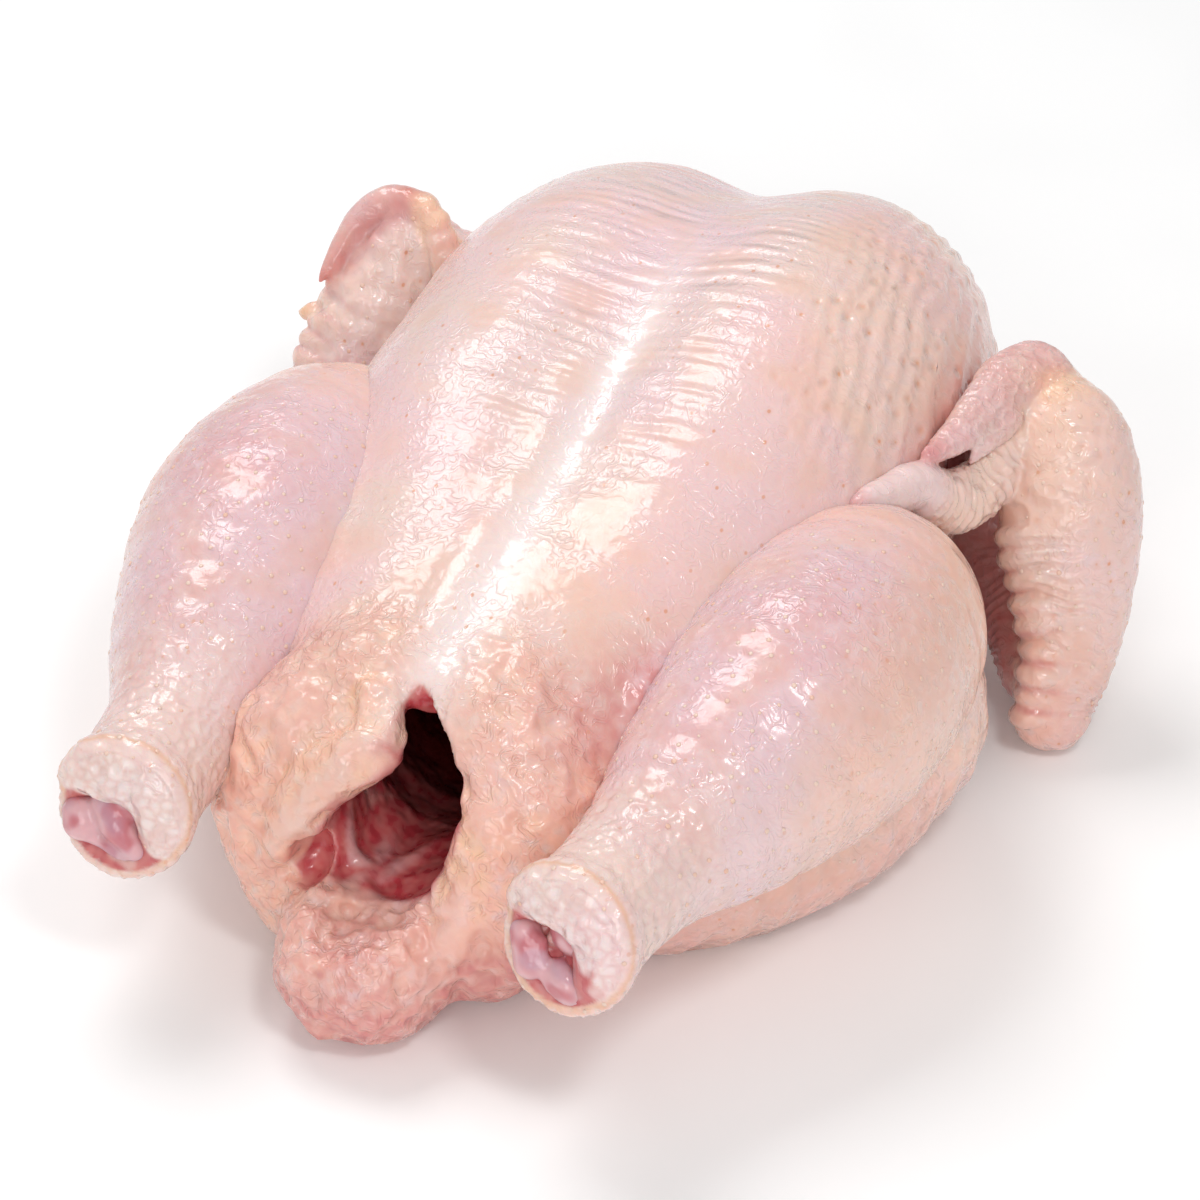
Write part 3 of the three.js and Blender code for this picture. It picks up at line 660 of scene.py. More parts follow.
def follicle_tree():
    """Geometry nodes that raise feather follicles on skin, as many as its mask called dots allows."""
    tree = bpy.data.node_groups.new("feather_follicles", "GeometryNodeTree")
    inputs = (("Skin", "Geometry", None), ("Spacing", "Float", 0.003), ("Smallest", "Float", 0.0004),
              ("Largest", "Float", 0.0008), ("Seed", "Int", FOLLICLE_SEED), ("Finish", "Material", None))
    for label, kind, value in inputs:
        socket = tree.interface.new_socket(label, in_out="INPUT", socket_type=f"NodeSocket{kind}")
        if value is not None:
            socket.default_value = value
    tree.interface.new_socket("Follicles", in_out="OUTPUT", socket_type="NodeSocketGeometry")
    given = add(tree, "NodeGroupInput").outputs
    allowed = add(tree, "GeometryNodeInputNamedAttribute", {"data_type": "FLOAT"}, Name="dots").outputs[0]
    spots = add(tree, "GeometryNodeDistributePointsOnFaces", {"distribute_method": "POISSON"},
                Mesh=given["Skin"], Distance_Min=given["Spacing"], Density_Max=1e6, Density_Factor=allowed,
                Seed=given["Seed"])
    size = add(tree, "FunctionNodeRandomValue", {"data_type": "FLOAT"}, i2=given["Smallest"],
               i3=given["Largest"], Seed=given["Seed"]).outputs[1]
    low = add(tree, "ShaderNodeMath", {"operation": "MULTIPLY"}, i0=size, i1=FOLLICLE_FLATNESS).outputs[0]
    scale = add(tree, "ShaderNodeCombineXYZ", X=size, Y=size, Z=low).outputs[0]
    dome = add(tree, "GeometryNodeMeshUVSphere", Segments=8, Rings=5, Radius=1.0).outputs[0]
    domes = add(tree, "GeometryNodeInstanceOnPoints", Points=spots.outputs["Points"], Instance=dome,
                Rotation=spots.outputs["Rotation"], Scale=scale).outputs[0]
    solid = add(tree, "GeometryNodeRealizeInstances", Geometry=domes).outputs[0]
    smooth = add(tree, "GeometryNodeSetShadeSmooth", Geometry=solid).outputs[0]
    done = add(tree, "GeometryNodeSetMaterial", Geometry=smooth, Material=given["Finish"]).outputs[0]
    add(tree, "NodeGroupOutput", i0=done)
    return tree


def scattered(mesh, material):
    """The follicles that stand on a mesh of skin, as a mesh."""
    sizes = bpy.context.scene.chicken_sizes
    tree = bpy.data.node_groups.get("feather_follicles") or follicle_tree()
    ob = linked("skin", mesh)
    modifier = ob.modifiers.new("Follicles", "NODES")
    modifier.node_group = tree
    values = {"Spacing": sizes.follicle_spacing*MM, "Smallest": sizes.follicle_least*MM,
              "Largest": sizes.follicle_most*MM, "Seed": FOLLICLE_SEED, "Finish": material}
    for item in tree.interface.items_tree:
        if item.name in values:
            modifier[item.identifier] = values[item.name]
    result = finished_mesh(ob)
    for attribute in [a.name for a in result.attributes if a.name not in ("position", "sharp_face")]:
        if not attribute.startswith("."):
            result.attributes.remove(result.attributes[attribute])
    return result


# Materials

def linear(colour):
    """An sRGB hex colour as linear red, green, blue and alpha."""
    channels = [int(colour[i:i+2], 16)/255 for i in (1, 3, 5)]
    return [c/12.92 if c <= 0.04045 else ((c+0.055)/1.055)**2.4 for c in channels]+[1.0]


def add(tree, kind, settings=None, **inputs):
    """Adds a node. Inputs are values or other nodes' sockets, by name or, as i0 and so on, by place."""
    node = tree.nodes.new(kind)
    for key, value in (settings or {}).items():
        setattr(node, key, value)
    for key, value in inputs.items():
        place = int(key[1:]) if key[0] == "i" and key[1:].isdigit() else key.replace("_", " ")
        socket = node.inputs[place]
        if isinstance(value, bpy.types.NodeSocket):
            tree.links.new(value, socket)
        else:
            socket.default_value = value
    return node


# Light goes furthest in flesh where it is red, and water on skin bends it by 1.4
FLESH_REDNESS = (1.0, 0.4, 0.25)
FLESH_SPREAD = 0.3
MOIST_IOR = 1.4
FILM_ROUGHNESS = 0.11


class Recipe:
    """A material's node tree, with the few steps that its patterns are made of."""

    def __init__(self, name):
        self.material = bpy.data.materials.new(name)
        self.material.use_nodes = True
        self.tree = self.material.node_tree
        self.tree.nodes.clear()
        self.place = self.node("ShaderNodeTexCoord").outputs["Object"]

    def node(self, kind, settings=None, **inputs):
        return add(self.tree, kind, settings, **inputs)

    def mask(self, name):
        return self.node("ShaderNodeAttribute", {"attribute_name": name}).outputs["Fac"]

    def stretched(self, scales, turn=(0, 0, 0)):
        """The object's coordinates turned, then scaled along each axis."""
        return self.node("ShaderNodeMapping", Vector=self.place, Rotation=turn, Scale=scales).outputs[0]

    def noise(self, size, detail=1.0, vector=None):
        """Noise with lumps about size millimetres across."""
        return self.node("ShaderNodeTexNoise", Vector=vector or self.place, Scale=1/(size*MM),
                         Detail=detail).outputs["Fac"]

    def cells(self, size, vector=None, randomness=1.0):
        """Distance from the middles of cells about size millimetres apart."""
        return self.node("ShaderNodeTexVoronoi", Vector=vector or self.place, Scale=1/(size*MM),
                         Randomness=randomness).outputs["Distance"]

    def ramp(self, value, low, high, start=0.0, end=1.0):
        """Start where value is low, end where it is high, and smooth between."""
        return self.node("ShaderNodeMapRange", {"interpolation_type": "SMOOTHSTEP"}, i0=value, i1=low,
                         i2=high, i3=start, i4=end).outputs[0]

    def times(self, a, b):
        return self.node("ShaderNodeMath", {"operation": "MULTIPLY"}, i0=a, i1=b).outputs[0]

    def plus(self, a, b):
        return self.node("ShaderNodeMath", {"operation": "ADD"}, i0=a, i1=b).outputs[0]

    def mix(self, a, b, factor):
        node = self.node("ShaderNodeMix", {"data_type": "RGBA"}, i0=factor, i6=a, i7=b)
        return node.outputs[2]

    def pushed(self, amounts):
        """The object's coordinates pushed about by noises, in millimetres."""
        x, y, z = amounts
        push = self.node("ShaderNodeCombineXYZ", i0=x, i1=y, i2=z).outputs[0]
        return self.node("ShaderNodeVectorMath", {"operation": "MULTIPLY_ADD"}, i0=push, i1=(MM,)*3,
                         i2=self.place).outputs[0]

    def bump(self, heights):
        """The normal of relief that adds up pairs of a height and how many millimetres it stands for."""
        total = 0.0
        for height, millimetres in heights:
            total = self.node("ShaderNodeMath", {"operation": "MULTIPLY_ADD"}, i0=height, i1=millimetres,
                              i2=total).outputs[0]
        return self.node("ShaderNodeBump", Strength=1.0, Distance=MM, Height=total).outputs[0]

    def flesh(self, colour, roughness, normal, depth, coat):
        """A moist surface. depth is how far light spreads in it, in millimetres, or 0 for none."""
        shader = self.node("ShaderNodeBsdfPrincipled", Base_Color=colour, Roughness=roughness, Normal=normal)
        for socket, value in (("Subsurface Weight", FLESH_SPREAD if depth else 0.0),
                              ("Subsurface Radius", FLESH_REDNESS), ("Subsurface Scale", depth*MM),
                              ("IOR", MOIST_IOR), ("Coat Weight", coat), ("Coat Roughness", FILM_ROUGHNESS)):
            shader.inputs[socket].default_value = value
        self.tree.links.new(normal, shader.inputs["Coat Normal"])
        self.node("ShaderNodeOutputMaterial", Surface=shader.outputs[0])
        return self.material


def raw_skin(tones):
    """Raw poultry skin, plucked and moist: a thin translucent film with a crinkled sheen over rosy meat
    and yellow fat, with feather follicles in rows."""
    r = Recipe("raw_chicken_skin")
    broad, medium, small = (r.noise(size, 0.0) for size in (34, 11, 2.6))
    grain = r.noise(3.2)
    colour = r.mix(tones.cream, tones.pink, r.ramp(broad, 0.4, 0.62))
    colour = r.mix(colour, tones.lilac, r.ramp(medium, 0.5, 0.72, 0, 0.2))
    colour = r.mix(colour, tones.peach, r.ramp(medium, 0.5, 0.28, 0, 0.4))
    colour = r.mix(colour, tones.lilac, r.times(r.mask("lilac"), r.ramp(medium, 0.1, 0.6, 0.3)))
    colour = r.mix(colour, tones.fat, r.times(r.mask("fat"), r.ramp(grain, 0.15, 0.6)))
    colour = r.mix(colour, tones.butter, r.times(r.mask("butter"), r.ramp(medium, 0.3, 0.62)))
    # The rose and raw masks carry the skin's own flush and raw meat, and also painted shade: on the shaded
    # undersides and fold grooves of the wings, on low skin near the board and in the groove under the right
    # wing's thumb.
    colour = r.mix(colour, tones.rose_and_shade, r.times(r.mask("rose_and_shade"), r.ramp(grain, 0.15, 0.75, 0.3)))
    colour = r.mix(colour, tones.sinew, r.mask("pale"))
    colour = r.mix(colour, tones.rim, r.mask("edge"))
    bare_meat = r.mix(tones.flesh, tones.meat, r.ramp(grain, 0.3, 0.7))
    colour = r.mix(colour, bare_meat, r.mask("raw"))
    # Painted shade: where the mask called deep is set, the colour goes to a dark red, deep in the hollow, in
    # the cut hocks' recesses and under the wings.
    colour = r.mix(colour, tones.dark_red_and_painted_shade, r.mask("deep"))
    # Follicles stand in slanting rows, 4 to 5 mm apart
    rows = r.cells(1.0, r.stretched((0.26, 0.2, 0.21), (0.2, 0.3, 0.6)), 0.6)
    specks = r.times(r.times(r.ramp(rows, 0.14, 0.07), r.ramp(medium, 0.35, 0.6)), r.mask("specks"))
    colour = r.mix(colour, tones.follicle, r.times(specks, 0.7))
    pits = r.times(r.ramp(rows, 0.34, 0.02), r.mask("dimple"))
    colour = r.mix(colour, tones.follicle, r.times(pits, 0.4))

    # Crinkles in the wet film are curly ridges 2 to 3 mm apart, and faint where the film lies smooth
    curls = r.noise(2.4, 0.0, r.pushed((r.times(small, 7.0), r.times(medium, 6.0), r.times(small, -6.0))))
    curls = r.node("ShaderNodeMath", {"operation": "ABSOLUTE"}, i0=r.plus(curls, -0.5)).outputs[0]
    crinkles = r.times(r.ramp(curls, 0.16, 0.0), r.ramp(medium, 0.36, 0.56, 0.2))
    # Fine ribs run across the breast, 3 mm apart
    across = r.noise(1.0, 0.0, r.stretched((0.05, 0.33, 0.16)))
    normal = r.bump((
        (r.times(small, r.mask("wrinkle")), 1.3),
        (r.times(across, r.mask("across")), 1.5),
        (r.times(r.ramp(rows, 0.0, 0.5), r.mask("dimple")), 0.5),
        (r.times(crinkles, r.mask("film")), 0.16),
    ))
    return r.flesh(colour, r.ramp(grain, 0.2, 0.8, 0.22, 0.4), normal, 4.0, 0.5)


def follicle_skin(tones):
    """Skin stretched over the root of a feather: a pale firm dome, wetter than the skin round it."""
    r = Recipe("skin_over_follicles")
    colour = r.mix(tones.dome, tones.peach, r.ramp(r.noise(9), 0.4, 0.7))
    return r.flesh(colour, 0.34, r.bump(((r.noise(0.8, 0.0), 0.08),)), 0.0, 0.3)


def cartilage(tones):
    """Fresh cartilage over bone ends: smooth, milky and wet, bluish lilac where it is thick, pink at the
    edges."""
    r = Recipe("fresh_cartilage")
    colour = r.mix(tones.cartilage, tones.marrow, r.ramp(r.noise(5, 0.0), 0.38, 0.6, 0.15, 0.95))
    colour = r.mix(colour, tones.lilac_bone, r.ramp(r.noise(7, 0.0), 0.5, 0.68, 0, 0.45))
    return r.flesh(colour, 0.28, r.bump(((r.noise(2.2), 0.3),)), 3.0, 0.6)


def white_board(tones):
    """A smooth matt white studio board, with a faint change of white across it."""
    r = Recipe("matt_white_board")
    colour = r.mix(tones.board, tones.board_shade, r.ramp(r.noise(60, 0.0), 0.4, 0.7))
    shader = r.node("ShaderNodeBsdfPrincipled", Base_Color=colour, Roughness=0.8)
    r.node("ShaderNodeOutputMaterial", Surface=shader.outputs[0])
    return r.material


RECIPES = {"raw_chicken_skin": raw_skin, "skin_over_follicles": follicle_skin, "fresh_cartilage": cartilage,
           "matt_white_board": white_board}


def finish(name):
    """The material of that name, made once."""
    return bpy.data.materials.get(name) or RECIPES[name](bpy.context.scene.chicken_tones)


# Trunk

def trunk_space(step):
    """Trunk, breasts, thighs, flaps and tail, with the hollow carved out and its membranes laid in."""
    space = Space(*TRUNK_BOX, step)
    space.join(ellipsoid(*TRUNK), HARD)
    for side in SIDES:
        c, s = math.cos(side*BREAST_TOE_IN), math.sin(side*BREAST_TOE_IN)
        centre = (side*BREAST_X[side], BREAST_Y, BREAST_Z[side])
        space.join(ellipsoid(centre, BREAST_RADII, ((c, -s, 0), (s, c, 0), (0, 0, 1))), BREAST_BLEND)
        space.join(limb(mirrored(BELLY, side)), BELLY_BLEND)
    space.join(limb(KEEL), KEEL_BLEND)
    for side in SIDES:
        space.join(limb(mirrored(NECK_SKIN, side)), NECK_BLEND)
        space.join(limb(as_leg_lies(THIGH, side)), THIGH_BLEND)
        space.join(limb(mirrored(FLAP, side)), FLAP_BLEND)
    space.join(limb(as_leg_lies(WEB, RIGHT)), WEB_BLEND)
    space.join(limb(TAIL, (1, 0, 0), TAIL_NARROWING), TAIL_BLEND)
    space.carve(limb(HOLLOW), HOLLOW_BLEND)
    space.carve(prism(MOUTH, MOUTH_DEPTH_Y), MOUTH_BLEND)
    space.join_limbs(LIPS, LIP_BLEND)
    space.carve(ellipsoid(*POCKET), POCKET_BLEND)
    space.join_limbs(MEMBRANES, MEMBRANE_BLEND)
    space.join(limb(FLANK_FOLD), FLANK_BLEND)
    space.join(limb(CREST), CREST_BLEND)
    space.cut(*BOARD_TOP, 1.5)
    return space


def trunk_masks(p):
    """Where the trunk's skin is fatty, rosy, pale, raw, ridged or dimpled, and where shade is painted on it.
    """
    x, y, z = p.T
    inside = np.minimum(limb(HOLLOW).at(p), prism(MOUTH, MOUTH_DEPTH_Y).at(p))
    pocket = smooth_step(ellipsoid(*POCKET).at(p), 1.2, 0)
    raw = np.maximum(smooth_step(inside, 1.6, 0.2)*smooth_step(y, 9, 15), pocket)
    membrane = nearest_of(p, MEMBRANES, 0.2, 1.6)
    lips = nearest_of(p, LIPS, 0.3, 2)
    raw = raw*(1-0.9*lips)
    flaps = nearest_of(p, [mirrored(FLAP, side) for side in SIDES], 0, 10)
    grooves = 1-lobules(warped(p, 9, 1.8, 1), 8, 4, 0.5)
    tail = near(p, TAIL, 1, 8)
    vent = np.maximum(np.maximum(flaps, tail), lips)
    outside = 1-raw
    thigh = nearest_of(p, [as_leg_lies(THIGH, side) for side in SIDES], 0, 6)
    keel = hump(x, 2.2, 4.5+3*smooth_step(y, 110, 60))*smooth_step(z, 60, 68)*smooth_step(y, 185, 130)
    cleft = hump(x, 0, 20)*smooth_step(y, 120, 170)*smooth_step(z, 60, 80)
    shoulder = smooth_step(x, 24, 50)*smooth_step(y, 105, 150)*smooth_step(z, 30, 60)
    left_shoulder = smooth_step(x, -30, -55)*smooth_step(y, 120, 170)
    crest = near(p, CREST, 0.3, 1.5)
    lower_flaps = flaps*smooth_step(z, 62, 50)
    return {
        "fat": (0.75*np.maximum(lower_flaps, lips)+0.6*flaps+0.8*tail+0.6*thigh*smooth_step(z, 60, 30)
                + 0.35*shoulder+patch(p, FATTY_SPOTS))*outside+0.4*crest,
        "butter": (0.55*lips+0.2*flaps*smooth_step(z, 40, 60))*outside,
        "rose_and_shade": outside*(patch(p, ROSY_AND_SHADE_SPOTS)
                         # Painted shade: the tail, the thighs and the right flap grow rosier low down, near
                         # the board.
                         + 0.2*tail+0.6*tail*smooth_step(z, 26, 8)+0.35*vent*grooves
                         + 0.9*flaps*smooth_step(x, 4, 12)*smooth_step(z, 36, 14)
                         + 0.3*thigh*smooth_step(z, 34, 10)),
        "lilac": 0.6*cleft+patch(p, LILAC_SPOTS)+0.8*near(p, FLANK_FOLD, 0.2, 2.5),
        "pale": 0.75*keel*outside,
        # raw is the hollow's meat, and with its spots also painted shade in the groove under the right
        # thumb.
        "raw": np.maximum(raw*(1-0.55*membrane*smooth_step(y, 40, 18)), 0.6*crest)
               + patch(p, THUMB_GROOVE_RED_SHADE_SPOTS),
        # Painted shade: deep darkens the hollow towards its far end, less on the membranes, and the groove
        # under the right thumb.
        "deep": raw*(1-pocket)*smooth_step(y, 30, 72)*(1-0.4*membrane)+patch(p, THUMB_GROOVE_SHADE_SPOTS),
        "wrinkle": np.clip(0.15+0.35*vent+0.3*thigh, 0, 1)*outside+0.4*raw,
        "across": outside*np.clip(hump(np.abs(x-2), 15, 13)*smooth_step(z, 66, 80)*smooth_step(y, 80, 130)
                                  + 0.4*hump(np.abs(x), 34, 16)*smooth_step(y, 150, 190), 0, 1),
        "dimple": outside*(shoulder+0.35*left_shoulder),
        "film": outside*(0.45-0.2*shoulder+0.5*vent),
        "specks": outside*(0.9-0.5*vent),
        "edge": 0*x,
        "dots": outside*(1-vent)*0.4*thigh*smooth_step(z, 8, 20),
        "vent": vent*outside,
        "thigh": thigh*outside,
        "tail": tail*outside,
    }


def trunk_relief(p):
    """How far the trunk's skin stands out, in millimetres."""
    x, y, z = p.T
    m = trunk_masks(p)
    bent = warped(p, 9, 1.8, 1)
    heights = 0.5*ripple(p, 28, 6)+0.14*ripple(p, 8, 7)*(1-m["raw"])
    along_keel = smooth_step(z, 60, 68)*smooth_step(y, 35, 48)*smooth_step(y, 150, 110)
    heights += along_keel*(0.9*hump(x, 2.5, 4)-1.1*hump(x, -6, 4)-0.5*hump(x, 10, 4))
    heights += m["vent"]*(1.5*(lobules(bent, 8, 4, 0.8)-0.6)+0.9*ripple(p, 12, 15)
                          + 0.4*(lobules(bent, 3.4, 16, 0.8)-0.6)+0.2*ripple(p*(1, 1, 0.5), 2.8, 18))
    heights += m["tail"]*(0.9*(lobules(bent, 6.4, 17, 0.45)-0.5)-2.5*patch(p, TAIL_DENT))
    heights += 0.35*m["dimple"]*np.sin(math.tau*(0.24*x+0.05*y+0.5*ripple(p, 16, 61)))
    folds = np.sin(0.22*x+0.75*y+2.6*ripple(p, 17, 8))
    heights += m["thigh"]*smooth_step(z, 52, 30)*smooth_step(z, 0, 10)*0.4*folds
    heights += m["raw"]*(0.5*ripple(p, 7, 9)+0.3*ripple(p, 3.5, 10))
    return heights


def trunk_detail(p):
    """Where the trunk keeps its finest faces."""
    m = trunk_masks(p)
    return np.clip(0.25+0.75*m["vent"]+0.4*m["raw"], 0, 1)*smooth_step(p[:, 2], 2, 20)


class CHICKEN_OT_trunk(bpy.types.Operator):
    """Makes the trunk: breast, thighs, flaps of skin, tail and the open hollow"""
    bl_idname = "chicken.trunk"
    bl_label = "Trunk"

    def execute(self, context):
        space = trunk_space(context.scene.chicken_sizes.trunk_step)
        skinned("trunk_skin", space, trunk_relief, trunk_masks, trunk_detail)
        return {"FINISHED"}


# Drumsticks

def drumstick_space(side, step):
    """A drumstick from knee to hock, with the tissue and cuff that show in its cut."""
    form = limb(as_leg_lies(DRUMSTICK, side))
    middle, axes = hock_cut(side)
    space = Space(form.low-4, form.high+4, step)
    space.join(form, HARD)
    space.cut(middle-axes[:, 2]*CUT_BACK, axes[:, 2], CUT_ROUNDING)
    for place, radii in (BOWL, RECESS):
        space.carve(ellipsoid(middle+axes@np.array(place), radii, axes), TISSUE_BLEND)
    space.join_limbs([at_hock(side, piece) for piece in TISSUE[side]], TISSUE_BLEND)
    space.join_limbs([at_hock(side, roll) for roll in CUFF], CUFF_BLEND)
    space.cut(*BOARD_TOP, 1)
    return space


def hock_lobules(p):
    """The small plump cells of the skin round a hock."""
    return lobules(warped(p, 6, 0.6, 31), 2.9, 33)


def drumstick_masks(p, side):
    """Where a drumstick's skin is fatty, rosy, pale or raw, and where shade is painted in its cut."""
    middle, axes = hock_cut(side)
    own = (p-middle)@axes
    off_axis = np.linalg.norm(own[:, :2], axis=1)
    rolls = [at_hock(side, roll) for roll in CUFF]
    cuff = nearest_of(p, rolls, 1.3, 2.1)*smooth_step(own[:, 2], -4.6, -3)
    face = smooth_step(off_axis, 13.6, 12.8)*smooth_step(own[:, 2], -9, -7)
    cuff = cuff*smooth_step(off_axis, 14.4, 13.6)
    tissue = nearest_of(p, [at_hock(side, piece) for piece in TISSUE[side]], 0.1, 1.0)
    raw = face*(1-cuff)
    bare = (1-raw)*(1-cuff)
    hock = smooth_step(own[:, 2], -42, -14)*bare
    knee = smooth_step(p[:, 1], 92, 118)
    outer = smooth_step(side*p[:, 0], 76, 96)
    middle_part = (1-hock)*(1-knee)*bare
    rim = hump(own[:, 2], -0.8, 0.6)*smooth_step(off_axis, 12, 13.5)*(1-cuff)
    seams = 1-hock_lobules(p)
    return {
        "fat": (0.1*hock+0.5*knee+0.45*outer+0.4*smooth_step(p[:, 2], 45, 25)*middle_part)*bare,
        "butter": (0.25*outer+0.3*hump(own[:, 2], -7, 6))*bare,
        "rose_and_shade": patch(p, mirrored(DRUMSTICK_ROSE, side))*bare+(0.35*hock+0.3*cuff)*seams,
        "lilac": 0.8*middle_part*(1-0.7*outer),
        "pale": np.maximum(cuff*(0.6-0.4*seams), 0.35*hock),
        "raw": raw*(0.9-0.45*tissue),
        # Painted shade: deep darkens the raw face further back in the cut, in its recess.
        "deep": raw*(1-tissue)*smooth_step(own[:, 2], -4, -8)*0.2,
        "wrinkle": 0.2+0.25*hock+0.6*cuff,
        "across": 0.15*middle_part,
        "dimple": 0.2*middle_part,
        "film": 0.6*middle_part+0.3*hock+0.3*cuff,
        "specks": 0.5*bare,
        "edge": 0.55*rim,
        "dots": (middle_part+0.4*hock)*smooth_step(p[:, 2], 4, 12),
    }


def drumstick_relief(p, side):
    """How far a drumstick's skin stands out, in millimetres."""
    middle, axes = hock_cut(side)
    out = ((p-middle)@axes)[:, 2]
    hock = smooth_step(out, -40, -14)*smooth_step(out, 0.5, -1.5)
    cuff = nearest_of(p, [at_hock(side, roll) for roll in CUFF], 0.5, 1.5)*smooth_step(out, -5, -3)
    heights = 0.45*ripple(p, 26, 11+side)+0.12*ripple(p, 6, 12)+0.8*cuff*ripple(p, 4.2, 35)
    return heights+hock*(1-cuff)*0.36*(hock_lobules(p)-0.5)


class CHICKEN_OT_drumsticks(bpy.types.Operator):
    """Makes the two drumsticks, each cut through at the hock"""
    bl_idname = "chicken.drumsticks"
    bl_label = "Drumsticks"

    def execute(self, context):
        for side in SIDES:
            space = drumstick_space(side, context.scene.chicken_sizes.leg_step)
            skinned(f"{SIDE_NAME[side]}_drumstick", space, lambda p: drumstick_relief(p, side),
                    lambda p: drumstick_masks(p, side))
        return {"FINISHED"}


class CHICKEN_OT_shins(bpy.types.Operator):
    """Makes the two shin bones, whose knuckles show in the cut hocks"""
    bl_idname = "chicken.shins"
    bl_label = "Shin bones"

    def execute(self, context):
        for side in SIDES:
            shaft = limb(as_leg_lies(SHIN, side))
            knuckles = [limb(at_hock(side, rows)) for rows in KNUCKLES[side]]
            forms = [shaft, *knuckles]
            low = np.min([form.low for form in forms], axis=0)-2
            high = np.max([form.high for form in forms], axis=0)+2
            space = Space(low, high, context.scene.chicken_sizes.bone_step)
            space.join(shaft, HARD)
            for knuckle in knuckles:
                space.join(knuckle, KNUCKLE_BLEND)
            points, faces = space.surface()
            mesh = new_mesh("shin", points, faces)
            move_along_normals(mesh, 0.12*ripple(points, 3, 41))
            mesh = thinned(mesh, context.scene.chicken_sizes.bone_triangles)
            put(f"{SIDE_NAME[side]}_shin", mesh, finish("fresh_cartilage"), "bone",
                f"{SIDE_NAME[side]}_shin_bone")
        return {"FINISHED"}


# Wings

def forearm_form(side):
    return limb(FOREARM[side], FOREARM_THIN_WAY, FOREARM_THINNING)


def rear_edge(side):
    """The rear edge of a forearm from the elbow up, and at each place along it the arm's half width
    toward the edge and toward the front."""
    line = spline(FOREARM[side], 6)
    axis = np.gradient(line[:, :3], axis=0)
    across = np.cross(axis, FOREARM_THIN_WAY)
    front = np.cross(across, axis)
    back, front = (way/np.linalg.norm(way, axis=1, keepdims=True)*line[:, 3:4] for way in (-across, front))
    edge = line[:, :3]+back
    low = edge[:, 2] < BEADED_BELOW[side]
    return edge[low], back[low], front[low]


def quill_pockets(side):
    """The plump folds that run in from a forearm's rear edge, one for each long feather that was there."""
    chance = np.random.default_rng(20+side)
    degrees, depth, radius = np.array(POCKETS[side]).T[:, :, None]
    round_by = np.radians(degrees)
    for row in evenly(np.hstack(rear_edge(side)), BEAD_SPACING):
        edge, back, front = row.reshape(3, 3)
        places = edge-back+np.cos(round_by)*back+np.sin(round_by)*front
        places += np.linspace(0, chance.uniform(-1, 3), len(places))[:, None]*np.array((0, 0.4, 1))
        yield np.hstack([onto(forearm_form(side), places, depth[:, 0]), radius*chance.uniform(0.85, 1.12)])


def wing_space(side, step):
    """A folded wing: arm, flat forearm with its beaded edge, and thumb; on the right a hand as well."""
    space = Space(*WING_BOX[side], step)
    space.join(limb(ARM[side]), HARD)
    space.join(forearm_form(side), FOREARM_BLEND)
    if side == RIGHT:
        space.join(limb(RIGHT_HAND), 2)
        space.join(limb(RIGHT_RIDGE), 2.5)
        space.join(limb(RIGHT_THUMB, THUMB_THIN_WAY, THUMB_THINNING), 2)
        space.join(limb(RIGHT_SPUR, THUMB_THIN_WAY, SPUR_THINNING), 1.2)
    else:
        space.join(limb(LEFT_PATAGIUM), 3)
        space.join_limbs(LEFT_TENDONS, 2.5)
        for x, y, z, radius in evenly(LEFT_EDGE, LEFT_EDGE_SPACING):
            space.join(ellipsoid((x, y, z), (radius, radius, radius*0.8)), 1.6)
        space.join_limbs((*SPURS, LEFT_THUMB), 1.5)
    space.join_limbs(quill_pockets(side), POCKET_EDGE_BLEND)
    space.cut(*BOARD_TOP, 1)
    return space


def left_folds(p):
    """The long folds that run down the left forearm."""
    return ripple(p*(1, 1, 0.35), 6, 55)


def right_hand(p):
    """Where the right wing's thumb is, where the rest of its hand is, and how far along the hand."""
    thumb = nearest_of(p, (RIGHT_THUMB, RIGHT_SPUR), -1, 0.6)
    place, _ = run_along(p, [station[:3] for station in RIGHT_HAND])
    return thumb, nearest_of(p, (RIGHT_HAND, RIGHT_RIDGE), 0, 2)*(1-thumb), place


